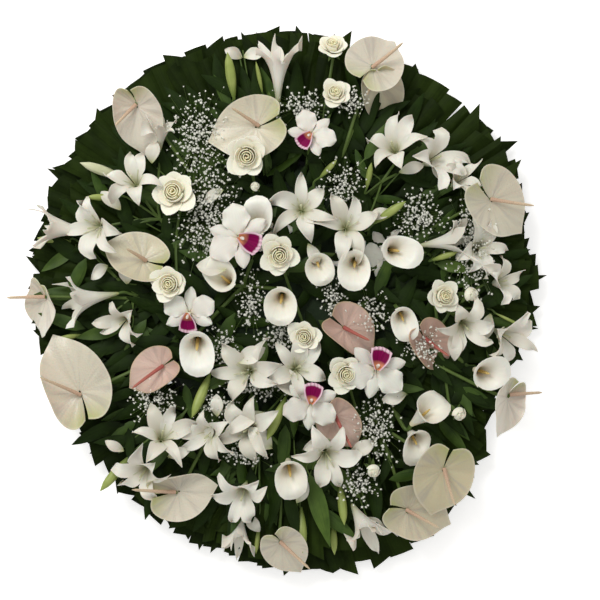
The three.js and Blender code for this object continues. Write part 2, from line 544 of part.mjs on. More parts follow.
const BUNCHES = [
  ...ORCHIDS.flatMap((orchid, i) => [
    { name: `cattleya_${i + 1}`, colour: 'white', heads: [{ kind: 'cattleya', ...orchid }] },
    { name: `cattleya_lip_${i + 1}`, kind: 'lip', colour: 'lip', heads: [{ kind: 'lip', ...orchid }] },
  ]),
  { name: 'rose_stem_1', colour: 'rose', heads: [
    roseAt([-19, 99, 124], 300, 12, 1), roseAt([40, -76, 122], 200, 8, 0.84)] },
  { name: 'rose_stem_2', colour: 'rose', heads: [
    roseAt([-82, 306, 128], 260, 12, 1.08), roseAt([-66, 236, 118], 90, 10, 0.5, 0.3)] },
  { name: 'rose_stem_3', colour: 'rose', heads: [
    roseAt([122, -150, 118], 300, 10, 0.96), roseAt([179, -352, 106], 290, 24, 0.74, 0.3)] },
  { name: 'rose_stem_4', colour: 'rose', heads: [
    roseAt([-228, 217, 112], 140, 18, 1.12), roseAt([-238, 36, 124], 200, 14, 0.96)] },
  { name: 'rose_stem_5', colour: 'rose', heads: [
    roseAt([319, 8, 112], 0, 22, 0.86), roseAt([376, 10, 104], 10, 34, 0.8, 0.4),
    roseAt([354, -235, 104], 330, 28, 0.76, 0.3)] },
  { name: 'rose_stem_6', colour: 'rose', heads: [
    roseAt([96, 520, 92], 90, 40, 0.8, 0.8), roseAt([99, 424, 104], 80, 24, 0.8, 1)] },
  { name: 'calla_bunch_1', colour: 'calla', heads: [
    callaAt([-58, 147, 84], 100, 22, 92, 0.95), callaAt([-118, 34, 84], 140, 24, 130, 0.95),
    callaAt([-10, 14, 94], 262, 20, 262, 0.98), callaAt([-188, -78, 84], 270, 22, 270, 1.1)] },
  { name: 'calla_bunch_2', colour: 'calla', heads: [
    callaAt([60, 88, 86], 290, 22, 290, 0.85), callaAt([144, 86, 92], 260, 16, 255, 1),
    callaAt([214, 106, 92], 350, 18, 340, 1)] },
  { name: 'calla_bunch_3', colour: 'calla', heads: [
    callaAt([236, -22, 86], 290, 26, 285, 0.85), callaAt([396, -146, 92], 340, 26, 30, 1)] },
  { name: 'calla_bunch_4', colour: 'calla', heads: [
    callaAt([262, -262, 96], 42, 55, 42, 1), callaAt([258, -276, 74], 300, 34, 250, 0.9)] },
  { name: 'anthurium_1', colour: 'cream', heads: [
    spatheAt([-315, 410, 118], 220, 24, 275, 104, -48, 62)] },
  { name: 'anthurium_2', colour: 'cream', heads: [
    spatheAt([178, 487, 116], 50, 24, 50, 84, -18, 80, 0.86),
    spatheAt([190, 470, 92], 290, 24, 283, 104, -60, 50, 0.4)] },
  { name: 'anthurium_3', colour: 'cream', heads: [
    spatheAt([-60, 364, 118], 110, 12, 196, 104, -44, 74, 0.7)] },
  { name: 'anthurium_4', colour: 'cream', heads: [
    spatheAt([426, 211, 116], 0, 22, 318, 98, 28, 88, 0.84)] },
  { name: 'anthurium_5', colour: 'cream', heads: [
    spatheAt([-297, 82, 116], 60, 16, 158, 90, 0, 56, 0.66)] },
  { name: 'anthurium_6', colour: 'cream', heads: [
    spatheAt([-505, 6, 104], 182, 56, 242, 92, -62, 84)] },
  { name: 'anthurium_7', colour: 'cream', heads: [
    spatheAt([-433, -198, 108], 200, 14, 117, 132, 28, 96, 0.62)] },
  { name: 'anthurium_8', colour: 'cream', heads: [
    spatheAt([-232, -403, 106], 190, 16, 10, 84, 164, 92, 0.86)] },
  { name: 'anthurium_9_10', colour: 'cream', heads: [
    spatheAt([328, -352, 124], 300, 14, 258, 102, 22, 80, 0.72),
    spatheAt([252, -441, 88], 290, 16, 338, 98, 0, 80, 0.66)] },
  { name: 'anthurium_11', colour: 'cream', heads: [
    spatheAt([-14, -508, 96], 280, 20, 300, 82, 26, 84, 0.6)] },
  { name: 'anthurium_12', colour: 'cream', heads: [
    spatheAt([464, -200, 104], 0, 56, 250, 86, 115, 68)] },
  { name: 'pink_anthurium_1', colour: 'pink', heads: [
    spatheAt([-260, -138, 116], 210, 12, 213, 84, 2, 82, 0.6)] },
  { name: 'pink_anthurium_2', colour: 'pink', heads: [
    spatheAt([119, -57, 112], 330, 14, 322, 80, 8, 62, 0.8)] },
  { name: 'pink_anthurium_3', colour: 'pink', heads: [
    spatheAt([289, -80, 100], 330, 18, 306, 82, 12, 62, 0.66)] },
  { name: 'pink_anthurium_4', colour: 'pink', heads: [
    spatheAt([100, -240, 110], 290, 14, 302, 82, -6, 80, 0.6)] },
  { name: 'lily_stem_1', colour: 'white', foot: [-45, 300], heads: [
    lilyAt([-19, 410, 92], 90, 74, 0, 1.12), budAt([-112, 428, 90], 98, 72),
    budAt([-52, 438, 84], 102, 74, 0.7, 0.6), leafAt([-34, 372, 96], 94, 84, 70, 10)] },
  { name: 'lily_stem_2', colour: 'white', heads: [
    lilyAt([229, 306, 96], 110, 24, 0.6), lilyAt([286, 286, 88], 20, 40, 0.6),
    budAt([168, 236, 92], 80, 66, 0.6), budAt([183, 162, 112], 34, 74, 0.85),
    leafAt([165, 298, 96], 60, 80, 86, 12)] },
  { name: 'lily_stem_3', colour: 'white', heads: [
    lilyAt([-316, 238, 90], 110, 24, 0.7, 0.9), lilyAt([-388, 156, 88], 190, 26, 0.8),
    lilyAt([-403, 142, 80], 173, 76, 0, 1.05), lilyAt([-268, 316, 88], 85, 52, 0.2, 0.72),
    budAt([-346, 258, 82], 161, 78, 1), budAt([-360, 216, 96], 180, 76, 0.66)] },
  { name: 'lily_stem_4', colour: 'white', heads: [
    lilyAt([-356, 14, 96], 190, 74, 0.1, 1), lilyAt([-332, -34, 84], 220, 30, 0.5, 0.8),
    budAt([-462, 124, 66], 174, 80, 0.7), leafAt([-450, 108, 62], 214, 82, 88, 12),
    budAt([-436, -74, 78], 190, 78, 0.55), leafAt([-350, -60, 80], 192, 80, 100, 14)] },
  { name: 'lily_stem_5', colour: 'white', heads: [
    lilyAt([31, 186, 108], 90, 8, 0.95, 0.92), lilyAt([122, 148, 100], 60, 14, 0.9, 0.95),
    budAt([70, 258, 100], 46, 70, 0.55)] },
  { name: 'lily_stem_6', colour: 'white', heads: [
    lilyAt([276, 114, 104], 8, 72, 0.1, 0.95), lilyAt([390, 108, 84], 0, 26, 0.8, 0.9),
    budAt([306, 84, 100], 18, 72, 0.6), leafAt([318, 76, 88], 350, 80, 80, 12)] },
  { name: 'lily_stem_7', colour: 'white', heads: [
    lilyAt([366, -44, 88], 300, 22, 0.7, 0.9), lilyAt([436, -62, 80], 330, 40, 0.5, 0.95),
    budAt([440, -28, 78], 334, 78, 0.6, 0.5), lilyAt([430, 34, 76], 10, 44, 0.7, 0.8)] },
  { name: 'lily_stem_8', colour: 'white', heads: [
    lilyAt([-76, -150, 96], 180, 14, 0.9, 1), lilyAt([16, -145, 99], 24, 10, 0.9, 0.95),
    budAt([-164, -160, 104], 248, 74), leafAt([-110, -150, 90], 210, 80, 90, 12),
    leafAt([-46, -88, 91], 258, 80, 70, 11)] },
  { name: 'lily_stem_9', colour: 'white', heads: [
    lilyAt([-152, -270, 88], 220, 28, 0.7, 0.9), lilyAt([-72, -266, 92], 200, 16, 0.8, 1),
    budAt([-4, -208, 110], 246, 74), leafAt([-76, -200, 84], 278, 80, 80, 12),
    callaAt([2, -338, 88], 280, 30, 285, 1)] },
  { name: 'lily_stem_10', colour: 'white', heads: [
    lilyAt([78, -316, 90], 300, 20, 0.8, 1), leafAt([48, -370, 84], 286, 80, 160, 20),
    budAt([112, -390, 78], 276, 76, 0.9), budAt([98, -476, 66], 272, 80, 0.66),
    leafAt([104, -354, 78], 308, 78, 86, 12), lilyAt([136, -430, 70], 300, 60, 0.3, 1),
    budAt([30, -444, 68], 272, 78, 0.95)] },
  { name: 'lily_stem_11', colour: 'white', heads: [
    lilyAt([-266, -298, 90], 70, 24, 0.7, 0.95), lilyAt([-290, -347, 80], 230, 32, 0.7, 0.9),
    budAt([-336, -334, 78], 230, 76, 0.95)] },
  { name: 'lily_stem_12', colour: 'white', heads: [
    lilyAt([-86, -386, 88], 250, 34, 0.6, 1), lilyAt([-95, -434, 70], 264, 78, 0.05, 0.8),
    budAt([-60, -480, 62], 264, 80, 0.6, 0.8)] },
  { name: 'gypsophila_1', colour: 'baby', heads: [
    babyAt([-190, 350, 96]), babyAt([-196, 296, 88]), babyAt([-150, 150, 96]),
    babyAt([30, 408, 94])] },
  { name: 'gypsophila_2', colour: 'baby', heads: [
    babyAt([262, 196, 92]), babyAt([366, 176, 92]), babyAt([96, 2, 98]),
    babyAt([180, -26, 96])] },
  { name: 'gypsophila_3', colour: 'baby', heads: [
    babyAt([192, -270, 96]), babyAt([-280, -212, 84]), babyAt([-76, -14, 92]),
    babyAt([-130, -96, 92]), babyAt([-90, -322, 88])] },
];

// The backing

// The outline's radius at an angle in degrees: a closed curve through the driving radii
function outlineRadius(angle) {
  const place = (((angle % 360) + 360) % 360) / (360 / OUTLINE.length);
  const i = Math.floor(place);
  const [before, a, b, after] = [-1, 0, 1, 2].map(
    (step) => OUTLINE[(i + step + OUTLINE.length) % OUTLINE.length],
  );
  const t = place - i;
  return 0.5 * (2 * a + (b - before) * t + (2 * before - 5 * a + 4 * b - after) * t * t
    + (3 * a - before - 3 * b + after) * t ** 3);
}

// How far from a fan's pivot, along a direction in the fan, a given radius is met
function reachTo(radius, angle) {
  const across = FANS.pivot * Math.sin(rad(angle));
  return Math.sqrt(radius ** 2 - across ** 2) - FANS.pivot * Math.cos(rad(angle));
}

// A pleated fan that is cut off at the outline, with its stalk in the foam
function palmFan(k) {
  const azimuth = (k / FANS.count) * 360 + 12;
  const level = k % 2 ? FANS.high : FANS.low;
  const random = mulberry(k + 5);
  const teeth = Array.from({ length: FANS.columns + 1 }, (_, i) => (
    (i % 2 ? 1 : 0.965) - random() * 0.03));
  const surface = (u, v) => {
    const column = ((v + 1) / 2) * FANS.columns;
    const near = Math.min(FANS.columns, Math.round(column));
    const angle = v * FANS.halfAngle;
    const inner = reachTo(FANS.inner, angle);
    const bearing = azimuth + Math.atan2(
      inner * 2.6 * Math.sin(rad(angle)), FANS.pivot + inner * 2.6 * Math.cos(rad(angle)),
    ) * (180 / Math.PI);
    const outer = reachTo(outlineRadius(bearing) * teeth[near], angle);
    const reach = lerp(inner, outer, u);
    const pleat = (near % 2 ? 1 : -1) * lerp(3, 6, u);
    return new THREE.Vector3(
      FANS.pivot + reach * Math.cos(rad(angle)), reach * Math.sin(rad(angle)), level + pleat,
    ).applyAxisAngle(UP, rad(azimuth));
  };
  const sheet = blade({
    along: 1, across: FANS.columns, surface: (u, v) => surface(u, v), thick: 1.4, rim: 1.4,
  });
  const [stalk, hole] = [0, CLEARANCE].map((margin) => tube(
    [254, 326].map((reach) => new THREE.Vector3(reach, 0, level - 1)
      .applyAxisAngle(UP, rad(azimuth))), 5, { sides: 3, margin },
  ));
  return { name: `palm_fan_${k + 1}`, colour: 'palm', solid: sheet.add(stalk), hole };
}

const foam = () => turned([
  [0, TRAY.floor + FOAM.gap], [FOAM.radius, TRAY.floor + FOAM.gap],
  [FOAM.radius, FOAM.top - FOAM.chamfer], [FOAM.radius - FOAM.chamfer, FOAM.top], [0, FOAM.top],
], TRAY.sides);

const tray = () => turned([
  [0, 0], [TRAY.radius, 0], [TRAY.radius, TRAY.rim], [TRAY.radius - TRAY.wall, TRAY.rim],
  [TRAY.radius - TRAY.wall, TRAY.floor], [0, TRAY.floor],
], TRAY.sides);

// Assembly

function cutBy(solid, tools) {
  const near = tools.filter((tool) => meets(solid, tool));
  return near.length ? solid.subtract(union(near)) : solid;
}

// The one body that holds the stem; scraps that a cut sets loose are dropped
const largest = (solid) => (
  solid.simplify(SMOOTHING).decompose().sort((a, b) => b.volume() - a.volume())[0]);

function assemble() {
  const taken = [];
  const blooms = BUNCHES.flatMap((bunch) => (
    bunch.heads.map((head) => ({ bunch, solid: bloomSolid(head, CLEARANCE) }))));
  const plants = BUNCHES.map((bunch) => plant(bunch, taken, blooms));
  const made = plants.map((self, i) => {
    const others = plants.filter((other) => other !== self);
    const tools = [
      ...others.filter((other) => other.stalks).map((other) => other.stalksGrown),
      ...plants.slice(0, i).map((other) => other.petalsGrown),
    ];
    const petals = cutBy(self.petals, tools);
    const whole = self.stalks ? petals.add(self.stalks) : petals;
    return { name: self.name, colour: self.colour, solid: largest(whole) };
  });
  const grown = plants.flatMap((self) => (
    self.stalks ? [self.stalksGrown, self.petalsGrown] : [self.petalsGrown]));
  const fans = Array.from({ length: FANS.count }, (_, k) => palmFan(k));
  const cutFans = fans.map((fan) => ({ ...fan, solid: largest(cutBy(fan.solid, grown)) }));
  const holes = [
    ...plants.filter((self) => self.hole).map((self) => self.hole),
    ...fans.map((fan) => fan.hole),
  ];
  const foamCut = cutBy(foam(), holes);
  return [
    { name: 'tray', colour: 'tray', solid: tray() },
    { name: 'floral_foam', colour: 'foam', solid: largest(foamCut) },
    ...cutFans, ...made,
  ];
}

const group = new THREE.Group();
for (const { name, colour, solid } of assemble()) {
  const material = new THREE.MeshStandardMaterial({
    color: COLOURS[colour], roughness: colour === 'palm' || colour === 'tray' ? 0.5 : 0.6,
    metalness: 0, side: THREE.FrontSide,
  });
  const mesh = new THREE.Mesh(toGeometry(solid), material);
  mesh.name = name;
  group.add(mesh);
}

export default group;
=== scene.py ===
# %% [markdown]
# # A round funeral wreath of white flowers
#
# The real wreath is a pad of wet foam on a flat tray. Pleated palm leaves are pushed into the
# pad's side and trimmed round, and then every flower is pushed in by its own stem. The packed
# solids give the place of each stem. This lesson dresses each of them in petals, one surface at a
# time. All shapes are worked out in millimetres and become metres when they become a mesh.

import bpy
import numpy as np
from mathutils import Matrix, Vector


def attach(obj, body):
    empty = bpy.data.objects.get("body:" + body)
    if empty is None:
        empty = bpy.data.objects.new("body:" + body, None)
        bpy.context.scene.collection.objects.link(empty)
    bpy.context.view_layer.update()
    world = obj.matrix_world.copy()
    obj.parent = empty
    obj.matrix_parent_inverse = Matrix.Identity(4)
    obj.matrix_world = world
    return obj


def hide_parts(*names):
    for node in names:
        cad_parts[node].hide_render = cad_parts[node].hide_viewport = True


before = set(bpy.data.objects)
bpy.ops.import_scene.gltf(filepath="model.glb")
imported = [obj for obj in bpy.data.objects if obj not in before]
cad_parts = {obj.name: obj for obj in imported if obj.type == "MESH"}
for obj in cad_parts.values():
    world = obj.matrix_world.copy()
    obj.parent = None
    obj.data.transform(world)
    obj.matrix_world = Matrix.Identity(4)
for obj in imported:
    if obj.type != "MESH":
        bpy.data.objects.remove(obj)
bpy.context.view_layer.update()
print("solids in the frame:", len(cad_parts))

# %% [markdown]
# ## Surfaces as arrays
#
# A petal is a sheet: a function of how far along it a point is, u from 0 to 1, and how far
# across, v from -1 to 1. Evaluating it on a whole grid at once gives an array of points. Drawing
# a petal by hand would be freer, but a formula can be bent a little differently for each of the
# several hundred petals, as real ones are.

# %% Grids and humps


def lerp(start, end, share):
    """start plus that share of the way to end."""
    return start + (end - start) * share


def rise(value, low, high):
    """0 below low, 1 above high, and 3t^2 - 2t^3 between them."""
    share = np.clip((value - low) / (high - low), 0, 1)
    return share * share * (3 - 2 * share)


def hump(u, power=1.0, round_by=0.8):
    """0 at both ends and 1 between: (sin(pi u^power))^round_by."""
    return np.clip(np.sin(np.pi * np.clip(u, 0, 1) ** power), 0, 1) ** round_by


def grid(rows, columns):
    """u down the rows from 0 to 1, and v across the columns from -1 to 1."""
    return np.meshgrid(np.linspace(0, 1, rows), np.linspace(-1, 1, columns), indexing="ij")


def stack(x, y, z):
    """Three arrays, or numbers, as one array of points."""
    return np.stack(np.broadcast_arrays(x, y, z), axis=-1).astype(float)


print("a hump at both ends and the middle:", hump(np.array([0, 0.5, 1])).round(2))

# %% [markdown]
# ## From a sheet to a closed petal
#
# Real petals have a thickness, and the mesh should be a closed skin. Solidify would do
# it, but the two faces are only the sheet moved half a thickness along its normal each way, so
# they are worked out here, and the rim joins them.

# %% A closed sheet: its corners, four-sided faces, three-sided faces and map


def sheet(points, thick):
    """Both faces of a sheet and the rim between them. The normal is the cross product of the
    steps along u and v, and each face lies half the thickness from the sheet."""
    rows, columns, _ = points.shape
    normal = np.cross(np.gradient(points, axis=0), np.gradient(points, axis=1))
    normal /= np.linalg.norm(normal, axis=2, keepdims=True) + 1e-9
    step = normal * thick / 2
    corners = np.concatenate([(points + step).reshape(-1, 3), (points - step).reshape(-1, 3)])
    spot = np.arange(rows * columns).reshape(rows, columns)
    a, b, c, d = spot[:-1, :-1], spot[1:, :-1], spot[1:, 1:], spot[:-1, 1:]
    front = np.stack([a, b, c, d], axis=-1).reshape(-1, 4)
    far = rows * columns
    edge = np.concatenate([spot[0, :-1], spot[:-1, -1], spot[-1, :0:-1], spot[:0:-1, 0]])
    after = np.roll(edge, -1)
    rim = np.stack([edge, after, after + far, edge + far], axis=-1)
    u, v = grid(rows, columns)
    spread = np.stack([v.ravel() / 2 + 0.5, u.ravel()], axis=-1)
    quads = np.concatenate([front, front[:, ::-1] + far, rim])
    return corners, quads, np.zeros((0, 3), int), np.tile(spread, (2, 1))


print("faces that close a sheet of 5 by 4 points:", len(sheet(stack(*grid(5, 4), 0), 1)[1]))

# %% [markdown]
# Stalks, buds and spadices are round, so they are rings of points with a skin over them. A curve
# with a bevel would do for a stalk, but not for a bud, whose section has three lobes.

# %% Skins and rods


def skin(rings):
    """A closed skin over rings of points: four-sided faces between the rings, with a cap of
    three-sided faces from the middle of the first ring and of the last."""
    rows, columns, _ = rings.shape
    spot = np.arange(rows * columns).reshape(rows, columns)
    beside = np.roll(spot, -1, axis=1)
    sides = np.stack([spot[:-1], beside[:-1], beside[1:], spot[1:]], axis=-1).reshape(-1, 4)
    low, high = rows * columns, rows * columns + 1
    bottom = np.stack([np.full(columns, low), beside[0], spot[0]], axis=-1)
    top = np.stack([np.full(columns, high), spot[-1], beside[-1]], axis=-1)
    corners = np.concatenate([rings.reshape(-1, 3), rings[[0, -1]].mean(axis=1)])
    u, turn = np.meshgrid(np.linspace(0, 1, rows), np.linspace(0, 1, columns), indexing="ij")
    spread = np.stack([turn.ravel(), u.ravel()], axis=-1)
    return corners, sides, np.concatenate([bottom, top]), np.vstack([spread, [[0.5, 0], [0.5, 1]]])


def rod(path, radius, sides=7):
    """A round section carried along a path. Each ring is the path's point plus the radius times
    the cosine and sine of the angle along two directions square to the path."""
    path = np.asarray(path, float)
    along = np.gradient(path, axis=0)
    along /= np.linalg.norm(along, axis=1, keepdims=True) + 1e-9
    level = np.array([0.31, 0.17, 0.93]) if abs(along[:, 2]).mean() < 0.8 else np.array([1.0, 0.2, 0])
    side = np.cross(along, level)
    side /= np.linalg.norm(side, axis=1, keepdims=True)
    other = np.cross(along, side)
    angle = np.linspace(0, 2 * np.pi, sides, endpoint=False)
    size = np.broadcast_to(np.asarray(radius, float), (len(path),))[:, None, None]
    cosine, sine = np.cos(angle)[None, :, None], np.sin(angle)[None, :, None]
    return skin(path[:, None] + size * (cosine * side[:, None] + sine * other[:, None]))


print("faces of a rod with one step:", sum(map(len, rod([[0, 0, 0], [0, 0, 9]], 1)[1:3])))

# %% [markdown]
# ## Turning a bloom to its place
#
# Every bloom is made at the origin, looking up, with its long way along +X. Its turn is the
# product of three: the long way is aimed, the bloom leans over, and the lean is given its heading.

# %% Turns


def about(axis, degrees):
    """The turn about Z or Y by an angle."""
    c, s = np.cos(np.radians(degrees)), np.sin(np.radians(degrees))
    if axis == "z":
        return np.array([[c, -s, 0], [s, c, 0], [0, 0, 1]])
    return np.array([[c, 0, s], [0, 1, 0], [-s, 0, c]])


def head_turn(heading, tilt, aim=None):
    """Leans from upright by the tilt towards the heading, with the long way towards the aim."""
    aim = heading if aim is None else aim
    return about("z", heading) @ about("y", tilt) @ about("z", aim - heading)


print("a bloom that leans 30 degrees towards +X faces", head_turn(0, 30)[:, 2].round(2))

# %% [markdown]
# ## A posy: many forms in one mesh
#
# A stem with its petals, leaves and stalk is one piece. A posy gathers the closed forms and keeps,
# for each face, which finish it has, and for each corner its place on its own petal and a tone,
# so that the finishes can follow the petals and no two petals look the same.

# %% The posy
FINISHES = {}


class Posy:
    """Closed forms, in millimetres, on the way to one mesh."""

    def __init__(self):
        self.forms, self.finishes, self.tones = [], [], []

    def add(self, form, finish, at=(0, 0, 0), turned=None, tone=0.5):
        corners = form[0] if turned is None else form[0] @ np.asarray(turned).T
        self.forms.append((corners + np.asarray(at, float), *form[1:]))
        self.finishes.append(finish)
        self.tones.append(tone)

    def build(self, name, slot, replaces=()):
        """The mesh, through foreach_set, riding on the wreath's one body."""
        counts = np.cumsum([0] + [len(form[0]) for form in self.forms])
        wanted = list(dict.fromkeys(self.finishes))
        corners = np.concatenate([form[0] for form in self.forms]) * 0.001
        quads = np.concatenate([form[1] + n for form, n in zip(self.forms, counts)])
        fans = np.concatenate([form[2] + n for form, n in zip(self.forms, counts)])
        spread = np.concatenate([form[3] for form in self.forms])
        tones = np.concatenate([np.full(len(f[0]), tone) for f, tone in zip(self.forms, self.tones)])
        dress = [wanted.index(finish) for finish in self.finishes]
        worn = np.concatenate([np.full(len(f[k]), d) for k in (1, 2) for f, d in zip(self.forms, dress)])
        used = np.concatenate([quads.ravel(), fans.ravel()])
        mesh = bpy.data.meshes.new(name)
        mesh.vertices.add(len(corners))
        mesh.vertices.foreach_set("co", corners.ravel())
        mesh.loops.add(len(used))
        mesh.loops.foreach_set("vertex_index", used)
        mesh.polygons.add(len(worn))
        starts = np.concatenate([np.arange(len(quads)) * 4, quads.size + np.arange(len(fans)) * 3])
        mesh.polygons.foreach_set("loop_start", starts)
        mesh.polygons.foreach_set("material_index", worn)
        mesh.update(calc_edges=True)
        mesh.validate()
        mesh.uv_layers.new(name="petal_map").data.foreach_set("uv", spread[used].ravel())
        mesh.attributes.new("tone", "FLOAT", "POINT").data.foreach_set("value", tones)
        mesh.shade_smooth()
        mesh.set_sharp_from_angle(angle=np.radians(50))
        for finish in wanted:
            mesh.materials.append(FINISHES[finish])
        piece = bpy.data.objects.new(name, mesh)
        bpy.context.scene.collection.objects.link(piece)
        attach(piece, "root")
        if replaces:
            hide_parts(*replaces)


# %% [markdown]
# ## Shader maths that reads like maths
#
# A finish is a formula: cream, greener towards the foot, with fine veins. One small class wraps a
# node's output, so that a * b + c in Python adds the Math nodes for it.

# %% Values


class Value:
    """A number that varies over a surface. Its operators add Math nodes."""

    def __init__(self, nodes, socket):
        self.nodes, self.socket = nodes, socket

    def maths(self, operation, *numbers):
        return self.nodes.node("ShaderNodeMath", {"operation": operation}, numbers)

    def __add__(self, other):
        return self.maths("ADD", self, other)

    def __sub__(self, other):
        return self.maths("SUBTRACT", self, other)

    def __rsub__(self, other):
        return self.maths("SUBTRACT", other, self)

    def __mul__(self, other):
        return self.maths("MULTIPLY", self, other)

    def __pow__(self, other):
        return self.maths("POWER", self, other)

    __radd__, __rmul__ = __add__, __mul__

    def held(self, low, high):
        """0 at low, 1 at high and held there beyond them."""
        return self.nodes.node(
            "ShaderNodeMapRange", {"clamp": True}, [self, low, high, 0.0, 1.0])


def colour(red, green, blue):
    """A screen colour, 0 to 255, as the linear numbers that a shader works in."""
    share = np.array([red, green, blue]) / 255
    linear = np.where(share < 0.04045, share / 12.92, ((share + 0.055) / 1.055) ** 2.4)
    return (*linear.tolist(), 1.0)


print("a screen grey of 128 is", round(colour(128, 128, 128)[0], 3), "in a shader")

# %% [markdown]
# A finish is a material made of such values. It hands each formula the petal's own map, its tone
# and the place in the piece, and it links what comes out to the shader. Nodes set by hand in the
# editor would give the same, but a formula can be read and reused.

# %% Finishes


class Finish:
    """A material: a Principled shader with formulas behind a few of its sockets."""

    def __init__(self, name, **constants):
        self.material = bpy.data.materials.new(name)
        self.material.use_nodes = True
        self.tree = self.material.node_tree
        self.shader = self.tree.nodes["Principled BSDF"]
        for socket, number in constants.items():
            title = socket.replace("_", " ").title().replace("Ior", "IOR")
            self.shader.inputs[title].default_value = number
        place = self.node("ShaderNodeUVMap", {"uv_map": "petal_map"}, [])
        split = self.node("ShaderNodeSeparateXYZ", {}, [place], out=None)
        self.across, self.along = (Value(self, split.outputs[k]) for k in (0, 1))
        self.tone = self.node("ShaderNodeAttribute", {"attribute_name": "tone"}, [], out=2)
        self.where = self.node("ShaderNodeTexCoord", {}, [], out=3)
        FINISHES[name] = self.material

    def node(self, kind, settings, values, out=0):
        """Adds a node: its settings, then a number, a colour or a link for each socket, and
        gives back one of its outputs, or the node itself."""
        made = self.tree.nodes.new(kind)
        for key, setting in settings.items():
            setattr(made, key, setting)
        pairs = values.items() if isinstance(values, dict) else enumerate(values)
        for socket, value in pairs:
            if isinstance(value, Value):
                self.tree.links.new(value.socket, made.inputs[socket])
            else:
                made.inputs[socket].default_value = value
        return made if out is None else Value(self, made.outputs[out])

    def blend(self, share, first, second):
        """The first colour where share is 0 and the second where it is 1."""
        return self.node("ShaderNodeMix", {"data_type": "RGBA"}, {0: share, 6: first, 7: second}, out=2)

    def grain(self, scale, where=None, detail=2.0):
        """Soft noise, about 0.5, at so many blotches a metre."""
        return self.node("ShaderNodeTexNoise", {}, {
            "Vector": where or self.where, "Scale": scale, "Detail": detail})

    def stripes(self, across, along):
        """Noise on the petal's own map, drawn out along it, which makes veins."""
        ways = [self.across * across, self.along * along, self.tone * 9]
        spot = self.node("ShaderNodeCombineXYZ", {}, ways)
        return self.grain(1.0, spot)

    def wear(self, base, roughness=None, height=None, strength=0.3, distance=0.001):
        """Joins the formulas to the shader."""
        self.tree.links.new(base.socket, self.shader.inputs["Base Color"])
        if roughness is not None:
            self.tree.links.new(roughness.socket, self.shader.inputs["Roughness"])
        if height is not None:
            bump = self.node("ShaderNodeBump", {}, {
                "Strength": strength, "Distance": distance, "Height": height})
            self.tree.links.new(bump.socket, self.shader.inputs["Normal"])


# %% [markdown]
# ## Petal finishes
#
# White petals are never plain white. They are greener at the foot, a little warmer or cooler from
# petal to petal, and veined lengthwise. Each finish mixes those from the petal's own map, so the
# veins run from foot to tip however the petal is turned.

# %% White, cream and ivory petals


def petal_finish(name, body, other, foot, veins=26, foot_end=0.3, roughness=0.5, **constants):
    """Body colour, towards the other colour by the petal's tone, towards the foot colour near
    its foot, with lengthwise veins that darken it and stand out."""
    finish = Finish(name, roughness=roughness, **constants)
    vein = finish.stripes(veins, 2.2)
    base = finish.blend(finish.tone, colour(*body), colour(*other))
    base = finish.blend((vein - 0.45).held(0, 0.5) * 0.35, base, colour(*[c * 0.86 for c in body]))
    base = finish.blend((1 - finish.along.held(0.0, foot_end)) ** 1.6, base, colour(*foot))
    finish.wear(base, None, vein, 0.35, 0.0012)


petal_finish("lily_petal", (236, 232, 222), (218, 213, 198), (164, 170, 104), foot_end=0.42,
             subsurface_weight=0.12, subsurface_scale=0.006)
petal_finish("orchid_petal", (236, 233, 222), (226, 216, 208), (206, 196, 160), veins=34, foot_end=0.2,
             subsurface_weight=0.15, subsurface_scale=0.006)
petal_finish("rose_petal", (248, 244, 228), (244, 236, 192), (226, 218, 150), veins=30, foot_end=0.35,
             roughness=0.6, sheen_weight=0.15, subsurface_weight=0.12, subsurface_scale=0.006)
petal_finish("calla_spathe", (244, 241, 232), (238, 232, 216), (242, 230, 186), veins=30, foot_end=0.4,
             roughness=0.42, subsurface_weight=0.12, subsurface_scale=0.006)
petal_finish("loose_petal", (238, 234, 222), (216, 211, 198), (184, 190, 134), foot_end=0.4,
             subsurface_weight=0.1, subsurface_scale=0.006)
print("petal finishes:", sorted(FINISHES))

# %% [markdown]
# An anthurium's spathe is a waxy leaf. Its veins leave the notch like the ribs of a fan and the
# skin between them is puckered, which shows in the shine more than in the colour. Its lobes
# behind the notch are often greener.

# %% Waxy spathes and their spadices


def spathe_finish(name, body, other, lobes, edge):
    """Body to other by tone, lobes coloured near both ends of the sweep, an edge line, and
    ribs that run out from the notch."""
    finish = Finish(name, roughness=0.34, coat_weight=0.25, coat_roughness=0.2,
                    subsurface_weight=0.1, subsurface_scale=0.006)
    ribs = finish.stripes(30, 0.8)
    pucker = finish.grain(260, detail=1.0)
    sweep = finish.node("ShaderNodeMath", {"operation": "ABSOLUTE"}, [finish.across - 0.5])
    base = finish.blend(finish.tone, colour(*body), colour(*other))
    base = finish.blend((sweep.held(0.3, 0.48) * finish.along.held(0.1, 0.9)) * 0.8, base, colour(*lobes))
    base = finish.blend((ribs - 0.48).held(0, 0.22) * 0.55, base, colour(*[c * 0.8 for c in body]))
    base = finish.blend(finish.along.held(0.93, 1.0) * 0.5, base, colour(*edge))
    finish.wear(base, 0.28 + pucker * 0.2, ribs * 0.7 + pucker * 0.6, 0.5, 0.003)


spathe_finish("cream_spathe", (218, 211, 198), (196, 187, 148), (168, 176, 98), (226, 220, 200))
spathe_finish("pink_spathe", (222, 196, 182), (206, 168, 152), (200, 164, 144), (204, 186, 134))


def spadix_finish(name, foot, tip):
    """Foot colour to tip colour along it, over a skin of small bumps, with painted shade in the grooves
    between the bumps.
    """
    finish = Finish(name, roughness=0.5)
    bumps = finish.node("ShaderNodeTexVoronoi", {}, {"Vector": finish.where, "Scale": 520.0})
    base = finish.blend(finish.along.held(0.1, 0.95), colour(*foot), colour(*tip))
    # Painted shade: darker in the grooves between the bumps, where the bump height is low
    base = finish.blend(bumps.held(0.2, 0.7) * 0.4, base, colour(*[c * 0.7 for c in foot]))
    finish.wear(base, None, 1 - bumps, 0.7, 0.0015)


